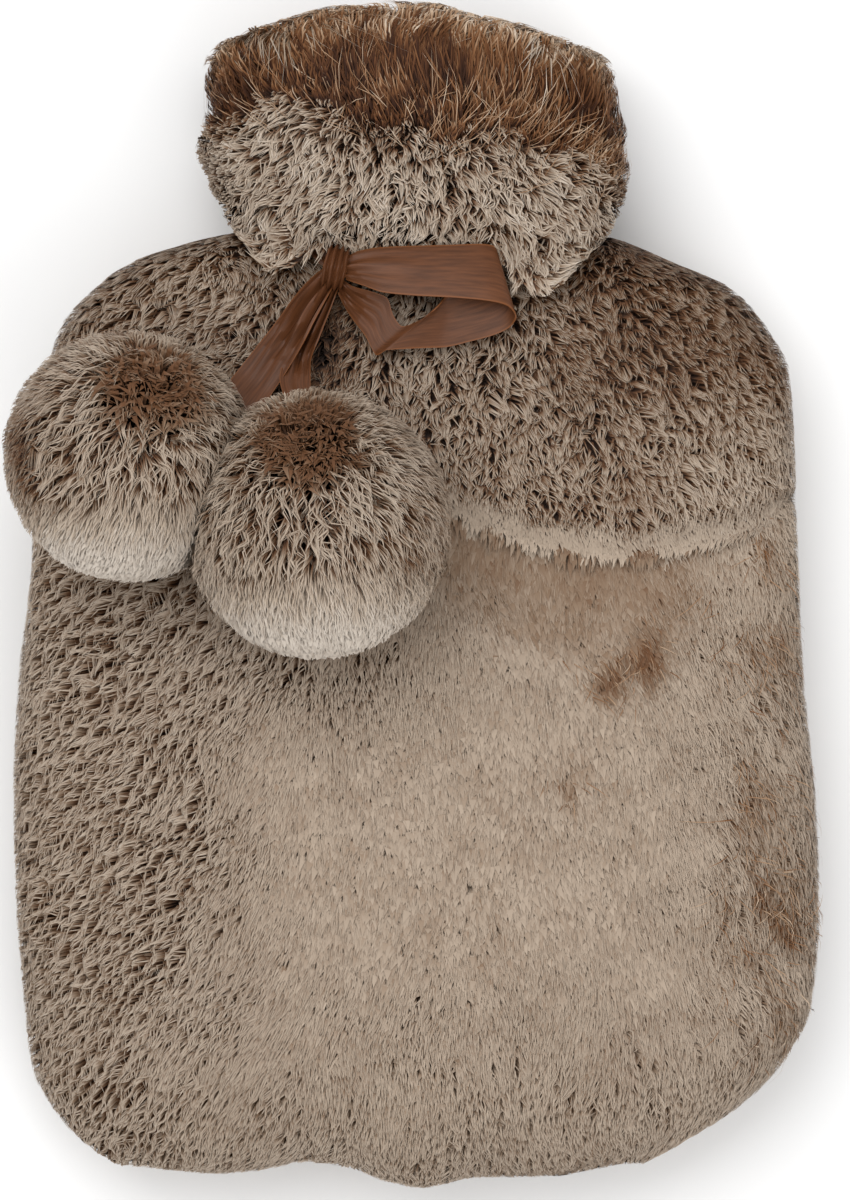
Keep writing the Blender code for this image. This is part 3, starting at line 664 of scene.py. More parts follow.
def blades(name, coat, made, material, chance):
    """One mesh of tapered blades, each a point, a pair of corners at every middle station, and a point.

    A blade's width lies across its path and across the outward side, turned about the path by a random roll.
    Its map has the hair's shade one way, and the other way 1 at the tip and 1 less its fade at the root.
    """
    paths, facing, width = made["paths"], made["facing"], made["width"][:, None, None]
    hairs, stations = paths.shape[:2]
    along = unit(np.gradient(paths, axis=1))
    across = unit(np.cross(along, facing[:, None, :]))
    roll = chance.uniform(-1, 1, (hairs, 1, 1)) * coat["roll"]
    across = across * np.cos(roll) + np.cross(along, across) * np.sin(roll)
    wide = width * chance.uniform(*HAIR_WIDTHS, (hairs, 1, 1)) * BLADE_SHAPE[stations][None, :, None]
    left, right = paths - across * wide / 2, paths + across * wide / 2
    pairs = np.stack([left[:, 1:-1], right[:, 1:-1]], axis=2).reshape(hairs, -1, 3)
    corners = np.concatenate([paths[:, :1], pairs, paths[:, -1:]], axis=1)
    flat = np.cross(across, along)
    lit = facing[:, None, :] + coat["own_side"] * flat / np.maximum(length(flat), NO_LENGTH)
    lit = np.concatenate([lit[:, :1], np.repeat(lit[:, 1:-1], 2, axis=1), lit[:, -1:]], axis=1)
    per_hair = corners.shape[1]
    last = per_hair - 1
    triangles = [(0, 2, 1)]
    for k in range(1, last - 2, 2):
        triangles += [(k, k + 1, k + 3), (k, k + 3, k + 2)]
    triangles += [(last - 2, last - 1, last)]
    triangles = np.array(triangles)
    index = (np.arange(hairs)[:, None, None] * per_hair + triangles).reshape(-1)
    at = BLADE_STATIONS[stations]
    up = np.concatenate([at[:1], np.repeat(at[1:-1], 2), at[-1:]])
    place = 1 - (1 - up) * made["fade"][:, None]
    chart = np.stack(np.broadcast_arrays(made["shade"][:, None], place), axis=-1).reshape(-1, 2)
    return triangle_object(name, corners.reshape(-1, 3), index, chart[index], lit.reshape(-1, 3), material)


def triangle_object(name, points, index, chart, normals, material):
    """An object of loose triangles, with a map of its corners and its own normals."""
    mesh = bpy.data.meshes.new(name)
    mesh.vertices.add(len(points))
    mesh.vertices.foreach_set("co", points.astype(np.float32).ravel())
    mesh.loops.add(len(index))
    mesh.loops.foreach_set("vertex_index", index.astype(np.int32))
    mesh.polygons.add(len(index) // 3)
    mesh.polygons.foreach_set("loop_start", np.arange(0, len(index), 3, dtype=np.int32))
    mesh.update(calc_edges=True)
    mesh.uv_layers.new(name="OFBake").data.foreach_set("uv", chart.astype(np.float32).ravel())
    mesh.shade_smooth()
    mesh.normals_split_custom_set_from_vertices(normals / length(normals))
    return linked(name, mesh, material)


def placed(name, data):
    """A new object of the scene."""
    made = bpy.data.objects.new(name, data)
    bpy.context.scene.collection.objects.link(made)
    return made


def linked(name, mesh, material):
    """A new object of that mesh, with its material, riding on the cover."""
    mesh.materials.append(material)
    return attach(placed(name, mesh), "root")


def fur(name, surface, turns, runs, coat, material, seed):
    """A coat of hairs on a part of a surface."""
    chance = np.random.default_rng(seed)
    places = scatter(surface, turns, runs, coat["spacing"], coat["wanted"], chance)
    return blades(name, coat, comb(surface, places, coat, chance), material, chance)


# ---------------------------------------------------------------- cloth


def grid_faces(rows, columns, start=0):
    """The quads of a grid of points that are numbered row by row."""
    i, j = np.meshgrid(np.arange(rows - 1), np.arange(columns - 1), indexing="ij")
    corner = (start + i * columns + j).ravel()
    return np.stack([corner, corner + 1, corner + columns + 1, corner + columns], axis=1)


def thick_patch(upper, lower):
    """The points and faces of the closed sheet between two grids of points, one over the other."""
    rows, columns = upper.shape[:2]
    count = rows * columns
    number = np.arange(count).reshape(rows, columns)
    rim = np.concatenate([number[0, :-1], number[:-1, -1], number[-1, :0:-1], number[:0:-1, 0]])
    after = np.roll(rim, -1)
    faces = np.concatenate(
        [
            grid_faces(rows, columns)[:, ::-1],
            grid_faces(rows, columns, count),
            np.stack([rim, after, after + count, rim + count], axis=1),
        ]
    )
    return np.concatenate([upper.reshape(-1, 3), lower.reshape(-1, 3)]), faces


def quad_object(name, points, faces, material, chart=None):
    """A smooth object of those points and faces, turned to face outwards, with its map if one is given."""
    a, b, c, d = (points[faces[:, k]] for k in range(4))
    volume = (np.cross(c - a, d - b) * (a + b + c + d)).sum()
    if volume < 0:
        faces = faces[:, ::-1]
    mesh = bpy.data.meshes.new(name)
    mesh.from_pydata(points.tolist(), [], faces.tolist())
    if chart is not None:
        corners = chart[faces.ravel()].astype(np.float32).ravel()
        mesh.uv_layers.new(name="weave").data.foreach_set("uv", corners)
    mesh.shade_smooth()
    mesh.set_sharp_from_angle(angle=math.radians(50))
    return linked(name, mesh, material)


def cloth(name, surface, turns, runs, size, material):
    """The cloth under a coat of fur: a thin closed sheet from the hairs' roots to the wall's inner face."""
    turn = np.linspace(*turns, size[0])[None, :]
    share = np.linspace(0, 1, size[1])[:, None]
    run = runs[0](turn) + (runs[1](turn) - runs[0](turn)) * share
    turn = turn + 0 * run
    roots, inside = surface(turn, run, 1 + 0 * run), surface(turn, run, 1 + CLOTH_SHARE + 0 * run)
    return quad_object(name, *thick_patch(roots, inside), material)


# ---------------------------------------------------------------- finishes


def plain_material(name, colour, roughness):
    """A new material and its shader, of one colour."""
    made = bpy.data.materials.new(name)
    made.use_nodes = True
    shader = made.node_tree.nodes["Principled BSDF"]
    shader.inputs["Base Color"].default_value = (*colour, 1)
    shader.inputs["Roughness"].default_value = roughness
    return made, shader


def sRGB(r, g, b):
    """A colour as the eye reads it, 0 to 255, in the shader's linear numbers."""
    value = np.array([r, g, b]) / 255
    linear = np.where(value <= 0.04045, value / 12.92, ((value + 0.055) / 1.055) ** 2.4)
    return tuple(float(v) for v in linear)


FADE = 1.5  # how far a hair of fade 1 falls in the table of shades, from its tip to its root
SHADE_REACH = 0.9  # how far a shade from 0 to 1 moves it there
BEHIND_RAMP = (0.1, 0.1, 0.1)  # a base colour that doesn't show, since a ramp takes its place


def node(made, kind, inputs, **settings):
    """A new shader node of a material, with its settings. An input is a value or another node's output."""
    new = made.node_tree.nodes.new("ShaderNode" + kind)
    for name, value in settings.items():
        setattr(new, name, value)
    for at, value in inputs.items():
        if isinstance(value, bpy.types.NodeSocket):
            made.node_tree.links.new(value, new.inputs[at])
        else:
            new.inputs[at].default_value = value
    return new


def colours(made, at, stops):
    """A ramp through those colours, each at its place, and the colour that it gives."""
    ramp = node(made, "ValToRGB", {"Fac": at})
    while len(ramp.color_ramp.elements) < len(stops):
        ramp.color_ramp.elements.new(0.5)
    for stop, (place, colour) in zip(ramp.color_ramp.elements, stops):
        stop.position = place
        stop.color = (*sRGB(*colour), 1)
    return ramp.outputs["Color"]


def bumped(made, shader, height, strength, distance):
    """Raises the surface by that height."""
    bump = node(made, "Bump", {"Strength": strength, "Distance": distance, "Height": height})
    made.node_tree.links.new(bump.outputs["Normal"], shader.inputs["Normal"])


def hair_material(name, shades, shine):
    """Dyed hair: dark at the root and frosted at the tip. The map's shade moves where the frosting starts.

    The place in the table is 1 at the tip of a hair of shade 0.5, moves with its shade, and falls with its
    fade on the way to its root.
    """
    made, shader = plain_material(name, BEHIND_RAMP, 0.6)
    shader.inputs["Specular IOR Level"].default_value = shine
    low, high = shades[0][0], shades[-1][0]
    reach = high - low
    chart = node(made, "UVMap", {}, uv_map="OFBake")
    split = node(made, "SeparateXYZ", {"Vector": chart.outputs["UV"]})
    start = (1 - FADE - SHADE_REACH / 2 - low) / reach
    along = node(made, "Math", {0: split.outputs["Y"], 1: FADE / reach, 2: start}, operation="MULTIPLY_ADD")
    inputs = {0: split.outputs["X"], 1: SHADE_REACH / reach, 2: along.outputs[0]}
    moved = node(made, "Math", inputs, operation="MULTIPLY_ADD")
    colour = colours(made, moved.outputs[0], [((at - low) / reach, shade) for at, shade in shades])
    made.node_tree.links.new(colour, shader.inputs["Base Color"])
    return made


# place, red, green and blue: from the root's dark to the frosting
PILE_SHADES = [
    (-0.45, (26, 13, 6)),
    (0.25, (48, 27, 13)),
    (0.50, (96, 63, 38)),
    (0.68, (130, 108, 88)),
    (0.85, (160, 143, 126)),
    (1.05, (179, 162, 144)),
    (1.45, (208, 198, 186)),
]
GINGER_SHADES = [
    (-0.45, (28, 13, 5)),
    (0.25, (54, 29, 14)),
    (0.50, (90, 55, 30)),
    (0.72, (120, 82, 52)),
    (0.95, (158, 128, 101)),
    (1.15, (190, 168, 145)),
    (1.45, (214, 203, 190)),
]

pile = hair_material("frosted_pile", PILE_SHADES, 0.2)
ginger = hair_material("ginger_pile", GINGER_SHADES, 0.12)


KNIT_SCALES = (("X", 224.0), ("Y", 314.0))  # the ribs and the rows of the backing
KNIT_DEEP = 0.3 * MM
WEAVE_SCALE = 12.0  # the satin's threads
WEAVE_DEEP = 0.2 * MM
SATIN_EDGE = (0.465, 0.49)  # where the ribbon's paler edge starts and is full, as shares from its middle


def knit_material():
    """The knitted backing of the fur: brown, with fine ribs and rows as bump and a soft sheen."""
    made, shader = plain_material("knit_backing", sRGB(70, 48, 34), 0.9)
    shader.inputs["Sheen Weight"].default_value = 0.3
    place = node(made, "TexCoord", {}).outputs["Object"]
    ribs, rows = (
        node(made, "TexWave", {"Vector": place, "Scale": scale}, bands_direction=direction).outputs["Fac"]
        for direction, scale in KNIT_SCALES
    )
    stitch = node(made, "Math", {0: ribs, 1: rows}, operation="MULTIPLY")
    bumped(made, shader, stitch.outputs[0], 0.5, KNIT_DEEP)
    return made


backing = knit_material()


def satin_material():
    """Satin ribbon: soft painted sheen streaks along it, a fine weave as bump, and a paler strip along each
    edge.
    """
    made, shader = plain_material("brown_satin", BEHIND_RAMP, 0.42)
    shader.inputs["Specular IOR Level"].default_value = 0.22
    chart = node(made, "UVMap", {}, uv_map="weave").outputs["UV"]
    streaked = node(made, "Mapping", {"Vector": chart, "Scale": (9, 0.8, 1)}).outputs["Vector"]
    noise = node(made, "TexNoise", {"Vector": streaked, "Scale": 2.0, "Detail": 3.0})
    # painted sheen: soft light and dark streaks along the satin
    painted_sheen_streaks = colours(made, noise.outputs["Fac"], [(0.3, (76, 44, 24)), (0.7, (100, 60, 35))])
    split = node(made, "SeparateXYZ", {"Vector": chart})
    aside = node(made, "Math", {0: split.outputs["X"], 1: 0.5}, operation="SUBTRACT")
    away = node(made, "Math", {0: aside.outputs[0]}, operation="ABSOLUTE")
    start, full = SATIN_EDGE
    edge = node(made, "MapRange", {"Value": away.outputs[0], "From Min": start, "From Max": full})
    tints = {"Factor": edge.outputs["Result"], 6: painted_sheen_streaks, 7: (*sRGB(116, 70, 38), 1)}
    paler = node(made, "Mix", tints, data_type="RGBA")
    made.node_tree.links.new(paler.outputs[2], shader.inputs["Base Color"])
    weave = node(made, "TexWave", {"Vector": chart, "Scale": WEAVE_SCALE}, bands_direction="X")
    bumped(made, shader, weave.outputs["Fac"], 0.12, WEAVE_DEEP)
    return made


satin = satin_material()


# ---------------------------------------------------------------- the coats

COLLAR_SHADOW = 6 * MM  # the shoulders' hairs go on this far under the collar's hem
BESIDE_COLLAR = 130 * MM  # and up to this station beside it
HALF_WIDE = 100 * MM  # the fan of the body's pile is full this far from the middle
COLLAR_HALF_WIDE = 60 * MM  # and that of the collar's
PARTED_MOST = 1.7  # how far the pile parts at most, where 1 opens a parting to its full width
EVEN_SHADE = 0.75  # the parted pile's shade where nothing else changes it
CALM_DARKER = 0.40  # how much darker the calm pile in the middle is
STAIN_STRENGTH = 0.5  # of the ginger places, for all of them together
UNDER_BALLS = 0.15  # the share of hairs that is kept where the balls lie


def over_lap(x, y):
    """How far a place lies above the lap's edge, made uneven as the tufts over it are."""
    return y - smooth_through(LAP_EDGE, x, 1) + 3.2 * MM * patchy(x, y, 4.5 * MM, 12)


def body_lie(x, y):
    """The angle at which the body's pile lies: fanned out to the sides, and ruffled on the upper front."""
    left, right = np.clip(-x / HALF_WIDE, 0, 1), np.clip(x / HALF_WIDE, 0, 1)
    fan = (FAN_RIGHT + FAN_SHOULDER * ease(y, 0, 60 * MM)) * right - FAN_LEFT * left
    ruffled = 0.65 * ease(over_lap(x, y), 4 * MM, 18 * MM)
    return fan + 0.25 * patchy(x, y, 24 * MM, 3) + ruffled * patchy(x, y, 7 * MM, 8)


def parted(x, y):
    """How far the pile is parted: least in the middle, most at the left, over the lap and under the balls."""
    left = 1.5 * ease(-x, 22 * MM, 106 * MM) * (1 + 0.35 * patchy(x, y, 26 * MM, 14))
    upper = 1.15 * ease(over_lap(x, y), 3.5 * MM, 10 * MM)
    bottom = 0.55 * ease(-y, 90 * MM, 160 * MM)
    right = 0.6 * ease(x, 58 * MM, 108 * MM)
    balls = 0.9 * spot(x, y, (-45 * MM, -15 * MM), (45 * MM, 24 * MM))
    most = np.maximum.reduce([left, upper, bottom, right, balls])
    most = most * (1 + 0.3 * patchy(x, y, 11 * MM, 6)) + 0.12 * patchy(x, y, 8 * MM, 15)
    return np.clip(most, 0, PARTED_MOST)


def body_field(x, y):
    """The partings of the body's pile, which turn most on the upper front and stay off the lap's edge."""
    over = over_lap(x, y)
    strength = parted(x, y) * np.where(over > 0, ease(over, 2 * MM, 8 * MM), 1)
    return strength, body_lie(x, y), 0.45 + 0.9 * ease(over, 4 * MM, 18 * MM)


def lying(lie, up, lift=0):
    """The way of hairs that lie at those angles from the line along the cover: up it at 1, down it at -1."""
    return np.stack([np.sin(lie), up * np.cos(lie), lift + 0 * lie], axis=-1)


def body_comb(here, normal, turn, run, chance):
    """Down the cover, fanned out towards its sides, and longest where the lower front's pile is calm."""
    x, y = seen(here)
    lie = body_lie(x, y) + chance.normal(0, 0.10, len(x))
    smooth = 1 + 0.6 * (1 - np.clip(parted(x, y), 0, 1)) * (over_lap(x, y) < 0)
    reach = (4.2 + 0.7 * patchy(x, y, 9 * MM, 4)) * MM * smooth * chance.uniform(0.85, 1.2, len(x))
    sunk = 0.02 + 0.04 * chance.uniform(0, 1, len(x)) + 0.25 * knot_sink_and_painted_shade(x, y)
    shade = body_shade(x, y) + 0.05 * patchy(x, y, 6 * MM, 5)
    return lying(lie, -1, -0.12), reach, sunk, shade, parted(x, y)


def knot_sink_and_painted_shade(x, y):
    """1 in the sunken fur between the ribbon's knot and the balls, falling softly round it: there the pile
    sinks and its colour is darkened as painted shade.
    """
    return spot(x, y, (-27 * MM, 84 * MM), (9 * MM, 16 * MM))


def body_shade(x, y):
    """The pile's shade, 0 brown to 1 frosted: browner up the front, most of all on the right shoulder.

    The hairs under the lap's edge, where the lower panel sinks, are darkened as painted shade, and so are
    those beside the ribbon's knot.
    """
    over = over_lap(x, y)
    upper = ease(over, 4 * MM, 13 * MM) * (1 - ease(x, 65 * MM, 92 * MM) * (1 - ease(over, 5 * MM, 45 * MM)))
    shoulder = ease(x, 20 * MM, 70 * MM) * ease(y, 50 * MM, 80 * MM)
    middle = ease(x, -10 * MM, 20 * MM) * (1 - ease(x, 80 * MM, 105 * MM))
    rim = 0.09 * (over >= 0) * (1 - ease(over, 4 * MM, 9 * MM))
    # painted shade under the lap's edge, where the lower panel sinks towards it
    lap_painted_shade = 0.18 * middle * (over < 0) * (1 - ease(-over, 8 * MM, 40 * MM))
    calm = 1 - np.clip(parted(x, y), 0, 1)
    # painted shade: the pile beside the ribbon's knot is darkened
    even = EVEN_SHADE - CALM_DARKER * calm + 0.06 * ease(x, 60 * MM, 110 * MM) - 0.5 * knot_sink_and_painted_shade(x, y)
    return even - 0.13 * upper - 0.20 * shoulder + rim - lap_painted_shade + stains(x, y)


def stains(x, y):
    """Ginger places, where the pile has turned and shows its middle: soft spots of listed sizes."""
    found = 0 * x
    for middle, size, much in STAINS:
        found = found - much * spot(x / MM, y / MM, middle, size)
    broken = np.maximum(1 + 1.1 * patchy(x + 0.3 * y, 0.45 * y, 5 * MM, 9), 0)
    return STAIN_STRENGTH * found * broken


# the middle across and along, the half width and half height, in millimetres, and the strength
STAINS = [
    ((112, -85), (16, 40), 0.13),
    ((108, -15), (11, 15), 0.36),
    ((64, -21), (9, 6), 0.62),
    ((72, -13), (7, 6), 0.38),
    ((110, -97), (10, 15), 0.44),
    ((104, -60), (7, 12), 0.24),
    ((48, -52), (4, 6), 0.35),
    ((110, 18), (7, 9), 0.28),
    ((112, -130), (7, 11), 0.22),
]


def all_wanted(here, turn, run):
    """Hairs all over."""
    return np.ones(here.shape[:-1])


def lower_wanted(here, turn, run):
    """No hairs past the lap's edge, fewer where the pompoms lie."""
    return (here[..., 1] < lap_line(np.cos(turn)) + 4 * MM) * under_pompoms(here)


def under_pompoms(here):
    """Few hairs where the pompoms lie."""
    x, y = seen(here)
    share = 1 + 0 * x
    for cx, cy, _, radius in POMPOMS.values():
        clear = np.hypot(x - cx, y - cy) > radius * 0.8
        share = share * np.where(clear, 1, UNDER_BALLS)
    return share


def upper_wanted(here, turn, run):
    """From the lap's edge to just under the collar's hem."""
    lap = lap_line(np.cos(turn))
    x, y = seen(here)
    middle, half, _ = section(COLLAR, y, True)
    share = (x - middle) / half
    hem = smooth_through(COLLAR_HEM_LINE, np.clip(share, -1, 1), 1)
    hem = np.where(np.abs(share) > 1, BESIDE_COLLAR, hem)
    return ((y > lap) & (y < hem + COLLAR_SHADOW)) * under_pompoms(here)


# The guard coat: the hairs at a place, the places' spacing, how far a tuft's hairs spread, a hair's width and
# stations, how far it rolls about itself, how uneven its length is, how far it strays, how ragged and how
# mottled the tips are, how far a tuft gathers where the pile is calm and where it is parted, how far parted
# pile sinks, darkens (darker middles and painted shade) and slims, how far a hair is lit by its own side, its
# comb, its partings, and how far its colour fades where the pile is calm and where it is parted.
GUARD = dict(
    hairs=8, spacing=2.25 * MM, spread=1.9 * MM, width=0.54 * MM, stations=3, roll=0.3, uneven=0.15,
    stray=0.06, ragged=0.05, mottle=0.05, gather=(0.05, 0.35), sink=0.0, dull_and_painted_shade=0.0, slim=0.2, own_side=0.1,
    comb=body_comb, partings=body_field, fade=(0.1, 1.0),
)
# The wide underfur, and the tufts and the fluff of the pieces whose pile stands up.
UNDER = dict(
    GUARD, hairs=1, spacing=1.15 * MM, spread=0.5 * MM, width=2.1 * MM, roll=0.15, uneven=0.3, stray=0.12,
    mottle=0.04, gather=(0.0, 0.0), sink=0.16, dull_and_painted_shade=-0.14, own_side=0.05, slim=0.55,
)
TUFTS = dict(GUARD, spacing=2.8 * MM, spread=2.2 * MM, stations=4, own_side=0.4, roll=0.5, slim=0.0)
FLUFF = dict(UNDER, spacing=1.1 * MM, width=0.66 * MM, sink=0.35, dull_and_painted_shade=-0.12, own_side=0.3, slim=0.0)
# Long fine ginger hairs that cross the pile, a few at each place.
LOOSE = dict(
    GUARD, hairs=3, spacing=3.4 * MM, spread=2.5 * MM, width=0.24 * MM, stations=4, gather=(0, 0), stray=0.35,
    uneven=0.4, ragged=0.12, mottle=0.15, slim=0.0, fade=(0.25, 0.25), partings=None,
)


def loose_comb(here, normal, turn, run, chance):
    """Down the cover and every way from that, over the pile's tips."""
    x, y = seen(here)
    lie = body_lie(x, y) + chance.normal(0, 0.7, len(x))
    reach = chance.uniform(5, 10, len(x)) * MM
    sunk = -0.02 - 0.06 * chance.uniform(0, 1, len(x))
    return lying(lie, -1), reach, sunk, 0.42 + 0 * x, 0 * x


def loose_wanted(here, turn, run):
    """Round the ginger places only."""
    return np.clip(-3.0 * stains(*seen(here)), 0, 1)


FRONT = (0.0, math.pi)
BACK = (-math.pi, 0.0)
LOWER_RUN = (0.0, 245 * MM)
UPPER_RUN = (205 * MM, 345 * MM)

LOWER_GUARD = dict(GUARD, wanted=lower_wanted)
LOWER_UNDER = dict(UNDER, wanted=lower_wanted)
LOWER_LOOSE = dict(LOOSE, comb=loose_comb, wanted=loose_wanted)
UPPER_GUARD = dict(GUARD, wanted=upper_wanted)
UPPER_UNDER = dict(UNDER, wanted=upper_wanted, spacing=1.0 * MM, width=1.2 * MM, slim=0.35)

lower_fur = [
    fur("front_lower_guard_hair", front_lower, FRONT, LOWER_RUN, LOWER_GUARD, pile, 11),
    fur("front_lower_underfur", front_lower, FRONT, LOWER_RUN, LOWER_UNDER, pile, 12),
    fur("front_lower_loose_hair", front_lower, FRONT, LOWER_RUN, LOWER_LOOSE, ginger, 17),
]
upper_fur = [
    fur("front_upper_guard_hair", front_upper, FRONT, UPPER_RUN, UPPER_GUARD, pile, 13),
    fur("front_upper_underfur", front_upper, FRONT, UPPER_RUN, UPPER_UNDER, pile, 14),
]


def run_start(turn):
    """The run at the bottom edge, or at the collar's hem."""
    return 0 * turn


def lap_end(turn):
    """The run at which the lower panel ends under the upper one."""
    return run_at(turn, lap_line(np.cos(turn)) + LAP)


def lap_start(turn):
    """The run of the upper panel's lower edge."""
    return run_at(turn, lap_line(np.cos(turn)))


def neck_end(turn):
    """The run at the neck's rim."""
    return run_at(turn, NECK_RIM)


def mouth_end(turn):
    """The run at which the folded collar ends in the mouth."""
    return 2 + 0 * turn


front_lower_cloth = cloth("front_lower_cloth", front_lower, FRONT, (run_start, lap_end), (60, 70), backing)
front_upper_cloth = cloth("front_upper_cloth", front_upper, FRONT, (lap_start, neck_end), (60, 50), backing)


def back_wanted(here, turn, run):
    """Full where the back's rim shows, fewer where it lies pressed flat, and none far under the collar."""
    return np.where(here[..., 2] > 3 * MM, 1.0, 0.4) * (here[..., 1] < 118 * MM)


BACK_RUN = (0.0, 330 * MM)
BACK_GUARD = dict(
    GUARD, wanted=back_wanted, spacing=4.2 * MM, spread=3.2 * MM, width=0.7 * MM, partings=None,
    fade=(0.5, 0.5),
)
BACK_UNDER = dict(
    UNDER, wanted=back_wanted, spacing=2.2 * MM, width=2.4 * MM, partings=None, fade=(0.4, 0.4), slim=0.0,
    sink=0.05, dull_and_painted_shade=-0.05,
)
back_fur = [
    fur("back_guard_hair", back, BACK, BACK_RUN, BACK_GUARD, pile, 15),
    fur("back_underfur", back, BACK, BACK_RUN, BACK_UNDER, pile, 16),
]
back_cloth = cloth("back_cloth", back, BACK, (run_start, neck_end), (60, 70), backing)


# ---------------------------------------------------------------- the collar

CREST_OVERLAP = 1.5 * MM  # the falling and the standing pile mix this far past the crest
CREST_WIDE = 9 * MM  # the half width of the strip of loose hairs along it
COLLAR_BACK_SHADE = 0.85  # the shade of the pile on its back

# across, along: the line where the collar's pile parts, seen from above
CREST = MM * np.array(
    [(-62, 147), (-57, 149), (-45, 155), (-29, 152), (11, 143), (33, 143), (57, 133), (66, 128)]
)


def over_crest(x, y):
    """How far a place lies above the ragged line where the collar's pile parts."""
    ragged = 3.0 * MM * patchy(x, y, 9 * MM, 24)
    return y - smooth_through(CREST, x, 1) + ragged + 1.5 * MM * patchy(x, y, 3 * MM, 26)


def collar_lie(x, y):
    """The angle at which the collar's pile lies: fanned out, and ruffled."""
    fan = 0.75 * np.clip(x / COLLAR_HALF_WIDE, -1, 1)
    return fan + 0.30 * patchy(x, y, 16 * MM, 23) + 0.75 * patchy(x, y, 5 * MM, 28)


def collar_field(x, y):
    """The partings under the crest, which turn wildly."""
    return 0.95 * ease(-over_crest(x, y), -1 * MM, 3 * MM), collar_lie(x, y), 1.3


def on_front(turn):
    """True on the collar's front and a little way round its sides."""
    return np.sin(turn) > -0.25


def calm_sides(turn):
    """1 on the front, and less at the collar's two sides, where the pile stands up."""
    return 1 - 0.65 * ease(np.abs(np.cos(turn)), 0.78, 0.96)


def falling_comb(here, normal, turn, run, chance):
    """Down from the crest, in ruffled tufts."""
    x, y = seen(here)
    lie = collar_lie(x, y) + chance.normal(0, 0.3, len(x))
    under = -over_crest(x, y)
    reach = (3.0 + 2.6 * ease(under, 0, 9 * MM)) * MM * chance.uniform(0.7, 1.25, len(x)) * calm_sides(turn)
    sunk = 0.10 * chance.uniform(0, 1, len(x)) - 0.02
    shade = 0.74 - 0.24 * (1 - ease(under, 0, 10 * MM)) + 0.16 * patchy(x, y, 6 * MM, 29)
    shade = np.where(on_front(turn), shade, COLLAR_BACK_SHADE)
    return lying(lie, -1, -0.3), reach, sunk, shade, 0.85 + 0 * x


def crown_comb(here, normal, turn, run, chance):
    """Up from the crest and over the fold: long ginger hairs, which are pale only at the top edge."""
    x, y = seen(here)
    lie = 0.55 * np.clip(x / COLLAR_HALF_WIDE, -1, 1) + 0.25 * patchy(x, y, 14 * MM, 27)
    lie = lie + chance.normal(0, 0.2, len(x))
    over = np.where(run > 1, np.maximum(over_crest(x, y), 5 * MM), over_crest(x, y))
    reach = (5 + 12 * ease(over, 0, 12 * MM)) * MM * chance.uniform(0.75, 1.25, len(x)) * calm_sides(turn)
    edge = ease(run, 1.05, 1.45)
    sunk = (0.30 - 0.18 * edge) * chance.uniform(0, 1, len(x)) - 0.04 - 0.12 * edge
    shade = 0.06 + 0.26 * patchy(x, y, 8 * MM, 25) + 0.27 * ease(x, -60 * MM, 50 * MM)
    shade = shade + 0.75 * ease(run, 0.92, 1.4)
    return lying(lie, 1), reach, sunk, shade, 0.3 + 0 * x


def falling_wanted(here, turn, run):
    """Under the crest on the front, and everywhere on the back, where the pile is sparser."""
    below = over_crest(*seen(here)) < CREST_OVERLAP
    return np.where(on_front(turn), below & (run < 1.0), 0.4 * (run < 1.25))


def crown_wanted(here, turn, run):
    """Over the crest, up to the fold's top, and along the fold on the back."""
    above = (over_crest(*seen(here)) > -CREST_OVERLAP) | (run > 1.0)
    return np.where(on_front(turn), above, run > 1.15) * 1.0


def mouth_comb(here, normal, turn, run, chance):
    """Short hairs inside the fold, which lie up towards its edge."""
    way = np.broadcast_to((0.0, 1.0, 0.0), here.shape) + chance.normal(0, 0.2, here.shape)
    reach = 3.5 * MM * chance.uniform(0.7, 1.3, len(turn))
    return way, reach, 0.1 * chance.uniform(0, 1, len(turn)), 0.30 + 0 * turn, 0.3 + 0 * turn


FALLING = dict(comb=falling_comb, wanted=falling_wanted, partings=collar_field)
COLLAR_GUARD = dict(
    TUFTS, **FALLING, spacing=2.8 * MM, width=0.42 * MM, hairs=12, hold=(-0.12, 1.5), gather=(0.1, 0.5),
    mottle=0.12, ragged=0.10, stray=0.14,
)
COLLAR_UNDER = dict(FLUFF, **FALLING, spacing=1.15 * MM, hold=(-0.05, 1.45))
STANDING = dict(comb=crown_comb, wanted=crown_wanted, partings=None)
CROWN = dict(
    TUFTS, **STANDING, spacing=2.6 * MM, width=0.5 * MM, hairs=9, hold=(0.2, 1.5), gather=(0.2, 0.75),
    mottle=0.17, stray=0.14, fade=(0.8, 0.8), own_side=0.2,
)
CROWN_UNDER = dict(FLUFF, **STANDING, spacing=1.15 * MM, hold=(0.2, 1.45))
MOUTH = dict(FLUFF, comb=mouth_comb, wanted=all_wanted, spacing=1.3 * MM, hold=(1.4, 1.9), partings=None)


def crest_comb(here, normal, turn, run, chance):
    """Loose hairs which cross the crest, up and fanned out."""
    x = here[:, 0]
    lie = 0.9 * np.clip(x / COLLAR_HALF_WIDE, -1, 1) + chance.normal(0, 0.5, len(x))
    reach = chance.uniform(7, 15, len(x)) * MM
    return lying(lie, 1), reach, -0.06 * chance.uniform(0, 1, len(x)), 0.50 + 0 * x, 0 * x


def crest_wanted(here, turn, run):
    """Along the crest only, and more to its right."""
    near = np.exp(-((over_crest(*seen(here)) / CREST_WIDE) ** 2))
    near = near * (np.sin(turn) > 0) * (run < 1.2)
    return near * (0.45 + 0.55 * ease(here[..., 0], -20 * MM, 20 * MM))


